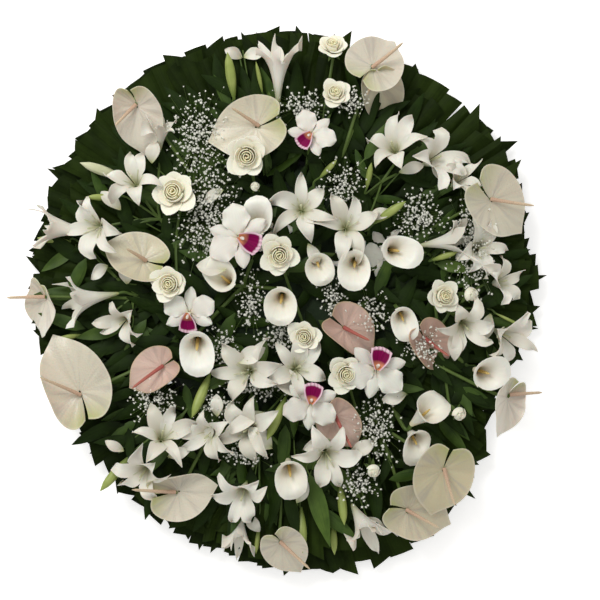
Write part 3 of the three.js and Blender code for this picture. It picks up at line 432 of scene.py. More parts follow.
spadix_finish("cream_spadix", (214, 178, 152), (224, 204, 170))
spadix_finish("red_spadix", (184, 92, 84), (196, 116, 98))
spadix_finish("gold_spadix", (214, 172, 84), (236, 208, 128))
print("finishes so far:", len(FINISHES))

# %% [markdown]
# The orchid's lip is deep magenta with a pale, frilled edge and an orange throat. All three
# follow the lip's own map.

# %% The orchid's lip
lip = Finish("orchid_lip", roughness=0.5, specular_ior_level=0.1)
lip_vein = lip.stripes(24, 2)
sides = lip.node("ShaderNodeMath", {"operation": "ABSOLUTE"}, [lip.across - 0.5])
lip_rim = lip.node("ShaderNodeMath", {"operation": "MAXIMUM"}, [
    (lip.along + lip_vein * 0.06).held(0.86, 0.93), (sides + lip_vein * 0.03).held(0.42, 0.47)])
lip_base = lip.blend((lip_vein - 0.4).held(0, 0.5), colour(128, 0, 74), colour(84, 0, 44))
lip_base = lip.blend(1 - lip.along.held(0.22, 0.42), lip_base, colour(222, 150, 110))
lip_base = lip.blend(lip_rim, lip_base, colour(232, 200, 214))
lip.wear(lip_base, None, lip_vein, 0.5, 0.002)
print("nodes in the lip's finish:", len(lip.tree.nodes))

# %% [markdown]
# ## Greens
#
# Lily leaves and stalks are mid-green with straight veins. Buds go from green at the foot to a
# pale yellow-green tip. The palm is the darkest thing in the wreath, with fine ribs along each
# pleat and a slight wax shine, and it fades from leaf to leaf.

# %% Leaves, stalks, buds and palm


def green_finish(name, dark, light, foot, ribs, roughness, strength=0.3, **constants):
    """Dark to light by tone and by blotches, a foot colour, and straight ribs along it."""
    finish = Finish(name, roughness=roughness, **constants)
    rib = finish.stripes(ribs, 1.2)
    blotch = finish.grain(38)
    lightness = (finish.tone * 0.8 + (blotch - 0.5) * 0.9).held(0, 1)
    base = finish.blend(lightness, colour(*dark), colour(*light))
    base = finish.blend((rib - 0.5).held(0, 0.3) * 0.5, base, colour(*[c * 0.6 for c in dark]))
    base = finish.blend(1 - finish.along.held(0, 0.35), base, colour(*foot))
    finish.wear(base, roughness - 0.1 + blotch * 0.2, rib, strength, 0.0015)


green_finish("leaf_green", (48, 74, 20), (96, 122, 48), (60, 84, 30), 24, 0.5, specular_ior_level=0.25)
green_finish("dark_leaf", (18, 32, 4), (42, 64, 16), (14, 26, 4), 24, 0.6, specular_ior_level=0.12)
green_finish("stalk_green", (60, 84, 34), (104, 126, 60), (52, 72, 30), 8, 0.5, specular_ior_level=0.3)
green_finish("bud_green", (128, 148, 62), (186, 194, 118), (104, 128, 52), 9, 0.45)
green_finish("pale_bud", (190, 194, 150), (222, 222, 196), (132, 150, 78), 9, 0.45)
green_finish("palm_green", (18, 30, 3), (44, 60, 16), (14, 24, 4), 9, 0.6, 0.4, specular_ior_level=0.07)
print("finishes so far:", len(FINISHES))

# %% [markdown]
# The smallest flowers are the gypsophila, paper-white stars a few millimetres across on stalks
# like hairs. The foam and the tray are hidden under it all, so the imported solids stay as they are
# and only take a finish.

# %% Gypsophila, foam and tray
star = Finish("gypsophila_white", roughness=0.6)
star.wear(star.blend(star.grain(160), colour(250, 250, 244), colour(222, 224, 212)))
foam = Finish("wet_foam", roughness=0.9)
pores = foam.node("ShaderNodeTexVoronoi", {}, {"Vector": foam.where, "Scale": 700.0})
# Painted shade: the foam is darker in the pit at the middle of each pore, where the bump height is low
foam_base = foam.blend(pores.held(0.1, 0.6), colour(20, 34, 16), colour(32, 50, 26))
foam.wear(foam_base, None, pores, 0.6, 0.001)
tray = Finish("tray_plastic", roughness=0.4)
speckle = tray.grain(900)
tray_base = tray.blend(speckle, colour(22, 32, 22), colour(34, 46, 34))
tray.wear(tray_base, 0.3 + speckle * 0.25, speckle, 0.2, 0.0004)
for node, finish in {"floral_foam": "wet_foam", "tray": "tray_plastic"}.items():
    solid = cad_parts[node]
    solid.data.materials.clear()
    solid.data.materials.append(FINISHES[finish])
print("finishes:", len(FINISHES))

# %% [markdown]
# ## The flowers
#
# Each flower is a function that gives its closed forms, with the finish and the tone of each.
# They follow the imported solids' sizes, so a bloom stays where its stem's solid is.
#
# A lily has six tepals in two whorls. Together they make a trumpet at the foot and part higher
# up. The outer three are narrower. Open flowers curl back at the tips, and the edges waver.

# %% Lily


def cubic(u, a, b, c, d):
    """The cubic through a and d that heads for b and c: the sum of the points, each times
    its weight (1-u)^3, 3u(1-u)^2, 3u^2(1-u) and u^3."""
    return (1 - u) ** 3 * a + 3 * u * (1 - u) ** 2 * b + 3 * u * u * (1 - u) * c + u ** 3 * d


def lily(size, opened, chance):
    """Tepal k stands at 60k degrees. Its middle line is a cubic from the tube to the tip. The
    half width follows the tube until the tepals part, then a hump. It is lifted by v^2 times a
    cup and a wave along the edge, twisted a little by v u, and pressed in along the midrib."""
    rows, columns = 15, 9
    u, v = grid(rows, columns)
    parts = []
    for k in range(6):
        inner = k % 2
        loose = chance.normal(0, 1, 7)
        reach = lerp(46, 80, opened) * (1 + 0.07 * loose[0])
        radius = cubic(u, 2.5, lerp(9, 18, opened), lerp(15, 44, opened), reach)
        tip = lerp(112, 38, opened) + 8 * loose[1]
        height = cubic(u, 0, lerp(52, 34, opened), lerp(96, 62, opened), tip)
        split = lerp(0.56, 0.3, opened)
        widest = (20 if inner else 14) * hump(u, 1.1, 0.8) + 0.6
        tube = radius * 0.6
        half = lerp(tube, widest, rise(u, split - 0.16, split + 0.12))
        bend = np.clip(half / radius, 0, 0.62) * v
        angle = np.radians(k * 60 + 7 * loose[2] + 13 * loose[5] * u * u) + bend
        free = rise(u, split, 1)
        wave = 3.4 * np.sin(11 * u + 2 * loose[3] + (v > 0) * 1.7) * v ** 2 * free
        groove = -1.6 * np.exp(-((v / 0.16) ** 2)) * free
        curl = -19 * opened * rise(u, 0.7, 1.0) ** 2 + 10 * loose[6] * v * u * free
        out = (radius + (1.6 if not inner else 0) * free) * size
        tepal = stack(out * np.cos(angle), out * np.sin(angle),
                      (height + 6 * v * v * free + wave + groove + curl - 1.5 * inner) * size)
        parts.append((sheet(tepal, 0.9), "lily_petal", float(np.clip(0.4 + 0.3 * loose[4], 0, 1))))
    if opened > 0.3:
        t = np.linspace(0, 1, 7)
        style = stack(5 * t ** 2, 2 * t, 8 + 48 * t) * size
        parts.append((rod(style, np.array([1.5, 1.4, 1.3, 1.2, 1.3, 2.4, 2.0]) * size), "pale_bud", 0.3))
        thin = np.array([0.8, 0.8, 0.7, 0.7, 0.6, 1.5, 1.0]) * size
        for k in range(6):
            reach = (10 + 16 * t) * np.sin(t * 1.3)
            turn = np.radians(k * 60 + 20 + 8 * chance.normal())
            thread = stack(reach * np.cos(turn), reach * np.sin(turn), 8 + 38 * t) * size
            parts.append((rod(thread, thin, 5), "pale_bud", 0.7))
    return parts


print("forms in an open lily:", len(lily(1, 1, np.random.default_rng(0))))

# %% [markdown]
# A closed lily bud is a long three-lobed pod. A lance leaf is a folded strip that arches over.

# %% Bud and leaf


def bud(size, width, pale=False):
    """Rings of radius R(u) (1 + 0.07 cos 3a), where R swells a little above the middle."""
    round_it = np.linspace(0, 2 * np.pi, 15, endpoint=False)
    u, turn = np.meshgrid(np.linspace(0, 1, 12), round_it, indexing="ij")
    swell = 10.5 * width * size * (0.22 + 0.78 * hump(u, 1.15, 0.8)) * (1 - 0.85 * rise(u, 0.86, 1.0))
    swell = swell * (1 + 0.07 * np.cos(3 * turn))
    rings = stack(swell * np.cos(turn), swell * np.sin(turn), (103 * u - 6) * size)
    return [(skin(rings), "pale_bud" if pale else "bud_green", 0.4)]


def leaf(length, width, chance):
    """Half width is a hump, the blade folds up along its midrib by |v|, and it arches by
    10 (u^2 - 0.4u) and twists."""
    u, v = grid(13, 5)
    half = width * hump(u, 0.85, 0.85) + 0.4
    twist = 0.5 * chance.normal() * u
    side, fold = v * half, -2.5 * np.abs(v) * np.sin(np.pi * u)
    points = stack(10 * (u * u - 0.4 * u) + fold * np.cos(twist) - side * np.sin(twist),
                   -(side * np.cos(twist)), length * u - 3)
    return [(sheet(points, 0.8), "leaf_green", float(chance.uniform(0.2, 0.9)))]


print("corners of a bud:", len(bud(1, 1)[0][0][0]))

# %% [markdown]
# A rose's petals sit in a spiral, each 137.5 degrees on from the last, as they grew. The inner
# ones are tall and rolled tight. The outer guard petals lean far out and end in a point. A rose
# that is still closed is a ball of petals whose rims lean in.

# %% Rose


def rose(size, opened, chance):
    """Petal k of n has t = k/(n-1). Its radius grows with sin(pi u / 2) times a spread that grows
    with t. A guard petal's rim is drawn to a point by 1 - 0.36 |v|^1.4 and rolls out and down."""
    open_wide = opened > 0.6
    count = 19 if open_wide else 10
    u, v = grid(11, 11)
    parts = []
    for k in range(count):
        t = k / (count - 1)
        loose = chance.normal(0, 1, 4)
        guard = float(open_wide) * rise(t, 0.45, 0.75)
        spread = lerp(2.5, 31 if open_wide else 23, t ** 0.9)
        half = lerp(1.6, 0.92, t ** 0.6) if open_wide else lerp(1.6, 1.1, t)
        along = u * (1 - guard * 0.36 * np.abs(v) ** 1.4)
        away = np.clip(along - 0.6, 0, 1)
        roll = guard * (46 + 9 * loose[3]) * away ** 1.2
        lean = 0 if open_wide else -0.42 * rise(u, 0.55, 1.0)
        angle = np.radians(k * 137.5 + 7 * loose[0]) + v * half * (0.75 + 0.25 * np.sin(np.pi * u * 0.8))
        radius = spread * np.sin(np.clip(along * 1.15, 0, 1) * np.pi / 2) * (1 + lean) + roll + 1.6 * v * t
        height = lerp(44, 36, t) * along - guard * 30 * away ** 1.7 - 3 * away * v * v
        height = height + 1.5 * loose[1] * v * u + 1.5 * guard * np.sin(4 * v + 3 * loose[2]) * away
        points = stack(radius * np.cos(angle), radius * np.sin(angle), height) * size
        yellow = 0.95 - 0.95 * rise(t, 0.1, 0.7) if open_wide else 0.15
        parts.append((sheet(points, lerp(2.4, 0.9, t ** 0.5)), "rose_petal", float(yellow)))
    u, v = grid(6, 3)
    sepal = stack(4 + 22 * u, v * 5 * hump(u * 0.9 + 0.1, 0.8), 2 - 9 * u ** 2) * size
    for k in range(5):
        parts.append((sheet(sepal @ about("z", k * 72 + 10).T, 0.8), "stalk_green", 0.5))
    return parts


print("petals and sepals of an open rose:", len(rose(1, 1, np.random.default_rng(0))))

# %% [markdown]
# A calla is one spathe rolled round a yellow spadix. Its two edges overlap at the front, and the
# far side rises to a tip that curls back.

# %% Calla


def calla(size, flare, chance):
    """At height u and angle a, the radius is 5 + 21 u^1.1 + (7 + 17 b^4) flare u^4, where
    b = (1 + cos a) / 2 is 1 at the tip. The angle runs a little past a full turn, and the
    second edge passes outside the first."""
    u, v = grid(15, 27)
    angle = v * np.pi * 1.12
    back = (1 + np.cos(angle)) / 2
    lap = 1 + 0.1 * (v + 1) / 2 * rise(np.abs(v), 0.5, 1)
    radius = (5 + 21 * u ** 1.1 + (7 + 17 * back ** 4) * flare * u ** 4) * lap
    tip_curl = 9 * rise(u, 0.85, 1.0) * rise(back, 0.9, 1.0)
    height = (66 + 30 * back ** 2) * (u - 0.14 * flare * u ** 6) - tip_curl
    wave = np.sin(7 * v + chance.uniform(0, 6)) * u ** 4
    radius = radius + 1.8 * wave
    points = stack(radius * np.cos(angle), radius * np.sin(angle), height + 3 * wave) * size
    t = np.linspace(0, 1, 9)
    core = rod(stack(2 * t, 0 * t, 8 + 52 * t) * size,
               size * np.array([3, 3.4, 3.5, 3.5, 3.4, 3.2, 3, 2.4, 1.2]), 9)
    tone = float(chance.uniform(0, 0.8))
    return [(sheet(points, 1.1), "calla_spathe", tone), (core, "gold_spadix", 0.5)]


print("corners of a spathe:", len(calla(1, 1, np.random.default_rng(0))[0][0][0]))

# %% [markdown]
# An anthurium's spathe is a heart. Its outline is given as the distance from the notch for each
# direction. It is cupped, the two lobes beside the notch are lifted, and one side is often
# curled up, which is worked out by wrapping that side round a cylinder.

# %% Anthurium
SPADIX_CLIMB = np.radians(38)


def heart(angle, lobes):
    """Distance from the notch by direction: the lobes' size, growing towards the tip as
    ((1 + cos a) / 2)^2 with a sharp point on top, and smaller again next to the notch."""
    to_tip = ((1 + np.cos(angle)) / 2) ** 2
    point = np.exp(-np.abs(angle) / 0.24)
    notch = np.exp(-(((np.pi - np.abs(angle)) / 0.4) ** 2))
    return (lobes + (0.82 - lobes) * to_tip + 0.2 * point) * (1 - 0.28 * notch)


def anthurium(size, turn, reach, lobes, pink, tone, chance):
    """The heart swept from one side of the notch to the other and drawn in to 0.88 of its width,
    with a cup of u^2, lifted lobes, a drooping tip, low ribs and a slow wave round the edge. A
    distance s on the curled side becomes sin(ks)/k across and (1 - cos(ks))/k up. The spadix
    leans out over it."""
    u, v = grid(14, 55)
    angle = np.sign(v) * np.radians(175) * np.abs(v) ** 0.9
    u = 0.03 + 0.97 * u
    out = u * size * heart(angle, lobes)
    cup = 0.06 * size * u * u + 0.22 * size * u ** 1.5 * np.clip(-np.cos(angle), 0, 1)
    droop = -0.15 * size * u ** 4 * np.exp(-((angle / 0.5) ** 2))
    wave = 0.03 * size * np.sin(angle * 4 + chance.uniform(0, 6)) * u ** 3
    ribs = 0.018 * size * np.cos(angle * 9) * u * (1 - u ** 4)
    side, bent = chance.choice([-1, 1]), chance.uniform(0.2, 1.5) / (0.6 * size)
    across = 0.88 * out * np.sin(angle)
    curled = np.clip(side * across, 0, None)
    across = across + side * (np.sin(bent * curled) / bent - curled)
    lift = (1 - np.cos(bent * curled)) / bent
    points = stack(out * np.cos(angle) + 5, across, cup + droop + wave + ribs + lift * 0.8 - 1)
    t = np.linspace(0, 1, 12)
    level = np.array([np.cos(np.radians(turn)), np.sin(np.radians(turn)), 0])
    way = level * np.cos(SPADIX_CLIMB) + np.array([0, 0, np.sin(SPADIX_CLIMB)])
    sway = stack(0 * t, 3 * t * t, 0.05 * reach * t ** 2)
    path = np.array([-1, 0, 4]) + t[:, None] * way * (reach + 2) + sway
    thick = lerp(4.4, 2.6, t) * np.clip(1.25 - rise(t, 0.9, 1.0), 0.3, 1)
    kind = "pink" if pink else "cream"
    return [(sheet(points, 1.1), f"{kind}_spathe", tone),
            (rod(path, thick, 10), "red_spadix" if pink else "cream_spadix", 0.5)]


print("a heart's reach at its tip and notch:", heart(np.array([0, np.pi]), 0.6).round(2))

# %% [markdown]
# A cattleya has three narrow sepals, two broad ruffled petals, and a lip, which is a sheet rolled
# into a tube at its foot and frilled at its mouth.

# %% Cattleya


def cattleya(size, chance):
    """Sepals and petals as humps along rays, bowed up and then down, with a ruffle of
    sin(15u) v^3 on the broad pair, and the short column in the middle."""
    parts = []
    rays = [(180, 56, 13, 1.5), (62, 54, 13, 1.5), (-62, 54, 13, 1.5), (120, 61, 25, 5), (-120, 61, 25, 5)]
    for angle, length, width, ruffle in rays:
        u, v = grid(14, 11)
        phase = chance.uniform(0, 6)
        broad = ruffle > 2
        side = v * (width * hump(u, 1.15, 0.78) + 1.0) * (1 + 0.1 * broad * np.sin(15 * u + phase) * u)
        lift = 12 * np.sin(1.6 * u) - 6 * u * u + 3 * broad
        lift = lift + ruffle * np.sin(15 * u + phase + v) * v ** 3 - 2.2 * v * v * (1 if broad else 2)
        points = stack(3 + length * u, side, lift) * size
        turned = about("z", angle + 4 * chance.normal())
        parts.append((sheet(points @ turned.T, 0.9), "orchid_petal", float(chance.uniform(0, 0.7))))
    t = np.linspace(0, 1, 6)
    column = rod(stack(1 + 9 * t, 0 * t, 2 + 21 * t) * size, size * np.array([5, 4.4, 4, 3.8, 3.6, 2.2]), 9)
    parts.append((column, "orchid_petal", 0.2))
    return parts


def lip_form(size):
    """Half width grows from a rolled tube to a round mouth, the sides roll up by 1 - cos, and
    the edge is frilled by sin(17v)."""
    u, v = grid(17, 31)
    out = 44 * u * (1 - 0.14 * v * v)
    half = 6 + 15 * np.sin(np.clip(u * 1.2, 0, 1) * 1.9)
    roll = 14 * (1 - np.cos(v * 1.5)) * (1.1 - u * 0.75)
    frill = 2.6 * np.sin(17 * v) * rise(u, 0.72, 1.0)
    height = 11 + roll + frill - 3 * u * u
    return [(sheet(stack(out - 1, v * half * (0.72 + 0.28 * u), height) * size, 0.9), "orchid_lip", 0.5)]


print("forms in an orchid and its lip:", len(cattleya(1, np.random.default_rng(0)) + lip_form(1)))

# %% [markdown]
# ## Planting
#
# Every bloom has a stalk that leaves the foam at its bunch's foot, passes its fork and reaches
# the bloom from behind. A straight stalk would be simpler, but it would come out at the side of a
# bloom that leans. From here on, the rows give for each packed stem its blooms: the place in
# millimetres, the heading and lean in degrees, and the flower's own sizes. Each piece has a seed
# of its own, so a change to one leaves the chance bends of the others as they are.

# %% Stalks from the foam to a bloom
FOOT_REACH, FORK_REACH, FOOT_HEIGHT, FORK_HEIGHT = 238, 318, 36, 78


def curve_through(points, steps):
    """A smooth path through a few points. Between two of them it is a cubic, and its slope at
    each point is half the step from the point before to the point after."""
    points = np.asarray(points, float)
    padded = np.vstack([2 * points[0] - points[1], points, 2 * points[-1] - points[-2]])
    t = np.linspace(0, len(points) - 1, steps)
    i = np.minimum(t.astype(int), len(points) - 2)
    t = (t - i)[:, None]
    before, a, b, after = (padded[i + k] for k in range(4))
    return 0.5 * (2 * a + (b - before) * t + (2 * before - 5 * a + 4 * b - after) * t ** 2
                  + (3 * a - before - 3 * b + after) * t ** 3)


def stalk(posy, at, turned, radius, past, foot, tone=0.5):
    """A rod through four points: the foot in the foam, the fork just over it, a point behind the
    bloom on the bloom's own axis, and the bloom."""
    at, foot = np.asarray(at, float), np.asarray(foot, float)
    reach = np.linalg.norm(foot)
    low = np.append(foot * min(1, FOOT_REACH / reach), FOOT_HEIGHT)
    fork = np.append(foot * min(1, FORK_REACH / reach), FORK_HEIGHT)
    axis = turned[:, 2]
    behind = at - axis * min(24, 0.35 * np.linalg.norm(at - fork))
    behind[2] = max(behind[2], min(at[2], FORK_HEIGHT - 4))
    path = curve_through([low, fork, behind, at + axis * past], 16)
    posy.add(rod(path, radius, 7), "stalk_green", tone=tone)


def plant(posy, parts, at, turned):
    """A bloom's forms, turned to its place."""
    for form, finish, tone in parts:
        posy.add(form, finish, at, turned, tone)


def grow(posy, parts, at, turned, *stalk_sizes, tone=0.5):
    """A bloom at its place, and its stalk: its radius, how far it enters the bloom, its foot."""
    plant(posy, parts, at, turned)
    stalk(posy, at, turned, *stalk_sizes, tone)


def middle(rows):
    """Where a bunch's foot is: the mean of its blooms' places, seen from above."""
    return np.mean([row[0][:2] for row in rows], axis=0)


print("stalks leave the foam at most", FOOT_REACH, "mm out and fork at", FORK_REACH, "mm")

# %% [markdown]
# The orchids come first. A petals piece stands for each orchid's solid and a lip piece for each
# lip's, because the two take different finishes in the record. The fourth number of a row is the
# way the lip points.

# %% Orchids
ORCHIDS = [
    ((50, 345, 138), 90, 12, 229, 0.86), ((-97, 130, 140), 150, 10, 335, 1.15),
    ((-204, -28, 128), 180, 12, 270, 0.95), ((186, -142, 136), 300, 10, 75, 1.1),
    ((50, -213, 134), 270, 10, 80, 1.0),
]
for i, (at, heading, tilt, aim, size) in enumerate(ORCHIDS, 1):
    chance = np.random.default_rng(100 + i)
    turned = head_turn(heading, tilt, aim)
    petals, mouth = Posy(), Posy()
    grow(petals, cattleya(size, chance), at, turned, 3.2, 1.5, at[:2])
    plant(mouth, lip_form(size), at, turned)
    petals.build(f"orchid_{i}_petals", "white_petal", [f"cattleya_{i}"])
    mouth.build(f"orchid_{i}_lip", "lip", [f"cattleya_lip_{i}"])
print("orchids:", len(ORCHIDS))

# %% [markdown]
# Three more orchids stand behind the callas, with their lips hidden, and a small lily fills a gap
# near the rim. No solid stands for them, so they are one piece that replaces nothing.

# %% Petals behind the callas
BEHIND = [
    ((212, 98, 72), 350, 10, 300, 0.95), ((142, 82, 72), 260, 10, 245, 0.85),
    ((-36, 150, 70), 90, 10, 60, 0.9),
]
posy, chance = Posy(), np.random.default_rng(150)
for at, heading, tilt, aim, size in BEHIND:
    grow(posy, cattleya(size, chance), at, head_turn(heading, tilt, aim), 3.2, 1.5, at[:2])
SIDE_LILY = (346, 239, 80)
grow(posy, lily(0.75, 0.4, chance), SIDE_LILY, head_turn(45, 35), 3, 2, SIDE_LILY[:2])
posy.build("petals_behind", "white_petal")
print("orchids behind:", len(BEHIND))

# %% [markdown]
# The roses come two or three on a stem. The last two numbers of a row are a rose's size and how
# far it is open.

# %% Roses
ROSES = {
    1: [((-19, 99, 124), 300, 12, 1, 1), ((40, -76, 122), 200, 8, 0.84, 1)],
    2: [((-82, 306, 128), 260, 12, 1.08, 1), ((-66, 236, 118), 90, 10, 0.5, 0.3)],
    3: [((122, -150, 118), 300, 10, 0.96, 1), ((179, -352, 106), 290, 24, 0.74, 0.3)],
    4: [((-228, 217, 112), 140, 18, 1.12, 1), ((-238, 36, 124), 200, 14, 0.96, 1)],
    5: [((319, 8, 112), 0, 22, 0.86, 1), ((376, 10, 104), 10, 34, 0.8, 0.4),
        ((354, -235, 104), 330, 28, 0.76, 0.3)],
    6: [((96, 520, 92), 90, 40, 0.8, 0.8), ((99, 424, 104), 80, 24, 0.8, 1)],
}
for number, rows in ROSES.items():
    posy, chance = Posy(), np.random.default_rng(200 + number)
    for at, heading, tilt, size, opened in rows:
        grow(posy, rose(size, opened, chance), at, head_turn(heading, tilt), 3.2, 2, middle(rows))
    posy.build(f"roses_{number}", "rose_petal", [f"rose_stem_{number}"])
print("roses:", sum(map(len, ROSES.values())))

# %% [markdown]
# Callas have thick, fleshy stalks. The last three numbers of a row are the way the tip points,
# the size and how far the mouth flares.

# %% Callas
CALLAS = {
    1: [((-58, 147, 84), 100, 22, 92, 0.95, 1), ((-118, 34, 84), 140, 24, 130, 0.95, 1),
        ((-10, 14, 94), 262, 20, 262, 0.98, 1), ((-188, -78, 84), 270, 22, 270, 1.1, 1)],
    2: [((60, 88, 86), 290, 22, 290, 0.85, 1), ((144, 86, 92), 260, 16, 255, 1, 1),
        ((214, 106, 92), 350, 18, 340, 1, 1)],
    3: [((236, -22, 86), 290, 26, 285, 0.85, 1), ((396, -146, 92), 340, 26, 30, 1, 1)],
    4: [((262, -262, 96), 42, 55, 42, 1, 1), ((258, -276, 74), 300, 34, 250, 0.9, 1)],
}
for number, rows in CALLAS.items():
    posy, chance = Posy(), np.random.default_rng(300 + number)
    for at, heading, tilt, aim, size, flare in rows:
        turned = head_turn(heading, tilt, aim)
        grow(posy, calla(size, flare, chance), at, turned, 4.4, 3, middle(rows))
    posy.build(f"callas_{number}", "calla_petal", [f"calla_bunch_{number}"])
print("callas:", sum(map(len, CALLAS.values())))

# %% [markdown]
# An anthurium's row goes on with the way its tip points, its size, the spadix's turn and reach,
# how big the lobes are beside the tip, and its tone. Two of the solids hold two spathes each.

# %% Anthuriums
CREAM = {
    "anthurium_1": [((-315, 410, 118), 220, 24, 275, 104, -48, 62, 0.54, 0.1)],
    "anthurium_2": [((178, 487, 116), 50, 24, 50, 84, -18, 80, 0.86, 0.2),
                    ((190, 470, 92), 290, 24, 283, 104, -60, 50, 0.4, 0.6)],
    "anthurium_3": [((-60, 364, 118), 110, 12, 196, 104, -44, 74, 0.7, 0.4)],
    "anthurium_4": [((426, 211, 116), 0, 22, 318, 98, 28, 88, 0.84, 0.35)],
    "anthurium_5": [((-297, 82, 116), 60, 16, 158, 90, 0, 56, 0.66, 0.6)],
    "anthurium_6": [((-505, 6, 104), 182, 56, 242, 92, -62, 84, 0.54, 0.2)],
    "anthurium_7": [((-433, -198, 108), 200, 14, 117, 132, 28, 96, 0.62, 0.3)],
    "anthurium_8": [((-232, -403, 106), 190, 16, 10, 84, 164, 92, 0.86, 0.25)],
    "anthurium_9_10": [((328, -352, 124), 300, 14, 258, 102, 22, 80, 0.72, 0.8),
                       ((252, -441, 88), 290, 16, 338, 98, 0, 80, 0.66, 0.6)],
    "anthurium_11": [((-14, -508, 96), 280, 20, 300, 82, 26, 84, 0.6, 0.3)],
    "anthurium_12": [((464, -200, 104), 0, 56, 250, 86, 115, 68, 0.54, 0.1)],
}
PINK = {
    "pink_anthurium_1": [((-260, -138, 116), 210, 12, 213, 84, 2, 82, 0.6, 0.3)],
    "pink_anthurium_2": [((119, -57, 112), 330, 14, 322, 80, 8, 62, 0.8, 0.5)],
    "pink_anthurium_3": [((289, -80, 100), 330, 18, 306, 82, 12, 62, 0.66, 0.8)],
    "pink_anthurium_4": [((100, -240, 110), 290, 14, 302, 82, -6, 80, 0.6, 0.2)],
}
for pink, stems in enumerate((CREAM, PINK)):
    for i, (node, rows) in enumerate(stems.items()):
        posy, chance = Posy(), np.random.default_rng(400 + 50 * pink + i)
        for at, heading, tilt, aim, size, turn, reach, lobes, tone in rows:
            bloom = anthurium(size, turn, reach, lobes, pink, tone, chance)
            grow(posy, bloom, at, head_turn(heading, tilt, aim), 3.6, 5, middle(rows), tone=0.8)
        posy.build(f"{node}_bloom", "pink_spathe" if pink else "cream_spathe", [node])
print("anthuriums:", len(CREAM) + len(PINK))

# %% [markdown]
# A lily stem carries open flowers, closed buds and leaves, so its rows are kept by kind. One stem
# shares its solid with a calla.

# %% Lilies with their buds and leaves
# After the lean comes how far a lily is open and its size, or a bud's size and width, or a leaf's
# length and half width
LILY_STEMS = {
    1: {"lily": [((-19, 410, 92), 90, 74, 0, 1.12)], "leaf": [((-34, 372, 96), 94, 84, 70, 10)],
        "bud": [((-112, 428, 90), 98, 72, 1, 1), ((-52, 438, 84), 102, 74, 0.7, 0.6)]},
    2: {"lily": [((229, 306, 96), 110, 24, 0.6, 1), ((286, 286, 88), 20, 40, 0.6, 1)],
        "bud": [((168, 236, 92), 80, 66, 0.6, 1), ((183, 162, 112), 34, 74, 0.85, 1)],
        "leaf": [((165, 298, 96), 60, 80, 86, 12)]},
    3: {"lily": [((-316, 238, 90), 110, 24, 0.7, 0.9), ((-388, 156, 88), 190, 26, 0.8, 1),
                 ((-403, 142, 80), 173, 76, 0, 1.05), ((-268, 316, 88), 85, 52, 0.2, 0.72)],
        "bud": [((-346, 258, 82), 161, 78, 1, 1), ((-360, 216, 96), 180, 76, 0.66, 1)]},
    4: {"lily": [((-356, 14, 96), 190, 74, 0.1, 1), ((-332, -34, 84), 220, 30, 0.5, 0.8)],
        "bud": [((-462, 124, 66), 174, 80, 0.7, 1), ((-436, -74, 78), 190, 78, 0.55, 1)],
        "leaf": [((-450, 108, 62), 214, 82, 88, 12), ((-350, -60, 80), 192, 80, 100, 14)]},
    5: {"lily": [((31, 186, 108), 90, 8, 0.95, 0.92), ((122, 148, 100), 60, 14, 0.9, 0.95)],
        "bud": [((70, 258, 100), 46, 70, 0.55, 1)]},
    6: {"lily": [((276, 114, 104), 8, 72, 0.1, 0.95), ((390, 108, 84), 0, 26, 0.8, 0.9)],
        "bud": [((306, 84, 100), 18, 72, 0.6, 1)], "leaf": [((318, 76, 88), 350, 80, 80, 12)]},
    7: {"lily": [((366, -44, 88), 300, 22, 0.7, 0.9), ((436, -62, 80), 330, 40, 0.5, 0.95),
                 ((430, 34, 76), 10, 44, 0.7, 0.8)], "bud": [((440, -28, 78), 334, 78, 0.6, 0.5)]},
    8: {"lily": [((-76, -150, 96), 180, 14, 0.9, 1), ((16, -145, 99), 24, 10, 0.9, 0.95)],
        "bud": [((-164, -160, 104), 248, 74, 1, 1)],
        "leaf": [((-110, -150, 90), 210, 80, 90, 12), ((-46, -88, 91), 258, 80, 70, 11)]},
    9: {"lily": [((-152, -270, 88), 220, 28, 0.7, 0.9), ((-72, -266, 92), 200, 16, 0.8, 1)],
        "bud": [((-4, -208, 110), 246, 74, 1, 1)], "leaf": [((-76, -200, 84), 278, 80, 80, 12)],
        "calla": [((2, -338, 88), 280, 30, 285, 1, 1)]},
    10: {"lily": [((78, -316, 90), 300, 20, 0.8, 1), ((136, -430, 70), 300, 60, 0.3, 1)],
         "leaf": [((48, -370, 84), 286, 80, 160, 20), ((104, -354, 78), 308, 78, 86, 12)],
         "bud": [((112, -390, 78), 276, 76, 0.9, 1), ((98, -476, 66), 272, 80, 0.66, 1),
                 ((30, -444, 68), 272, 78, 0.95, 1)]},
    11: {"lily": [((-266, -298, 90), 70, 24, 0.7, 0.95), ((-290, -347, 80), 230, 32, 0.7, 0.9)],
         "bud": [((-336, -334, 78), 230, 76, 0.95, 1)]},
    12: {"lily": [((-86, -386, 88), 250, 34, 0.6, 1), ((-95, -434, 70), 264, 78, 0.05, 0.8)],
         "bud": [((-60, -480, 62), 264, 80, 0.6, 0.8)]},
}
FIRST_FOOT = (-45, 300)

for number, kinds in LILY_STEMS.items():
    posy, chance = Posy(), np.random.default_rng(500 + number)
    foot = FIRST_FOOT if number == 1 else middle([row for rows in kinds.values() for row in rows])
    for kind, rows in kinds.items():
        for at, heading, tilt, *sizes in rows:
            turned = head_turn(heading, tilt, sizes[0] if kind == "calla" else None)
            if kind == "lily":
                made, radius = lily(sizes[1], sizes[0], chance), 3.0
            elif kind == "bud":
                made, radius = bud(*sizes, pale=chance.random() < 0.15), 2.2
            elif kind == "leaf":
                made, radius = leaf(*sizes, chance), 1.5
            else:
                made, radius = calla(*sizes[1:], chance), 4.4
            grow(posy, made, at, turned, radius, 2, foot)
    posy.build(f"lilies_{number}", "white_petal", [f"lily_stem_{number}"])
print("lily stems:", len(LILY_STEMS))

# %% [markdown]
# Some lilies have dropped back so far that only one curled petal of each shows in a gap. Each of
# those is one arched sheet on a thin stalk. The rows give its foot, its heading, its length and
# its half width.

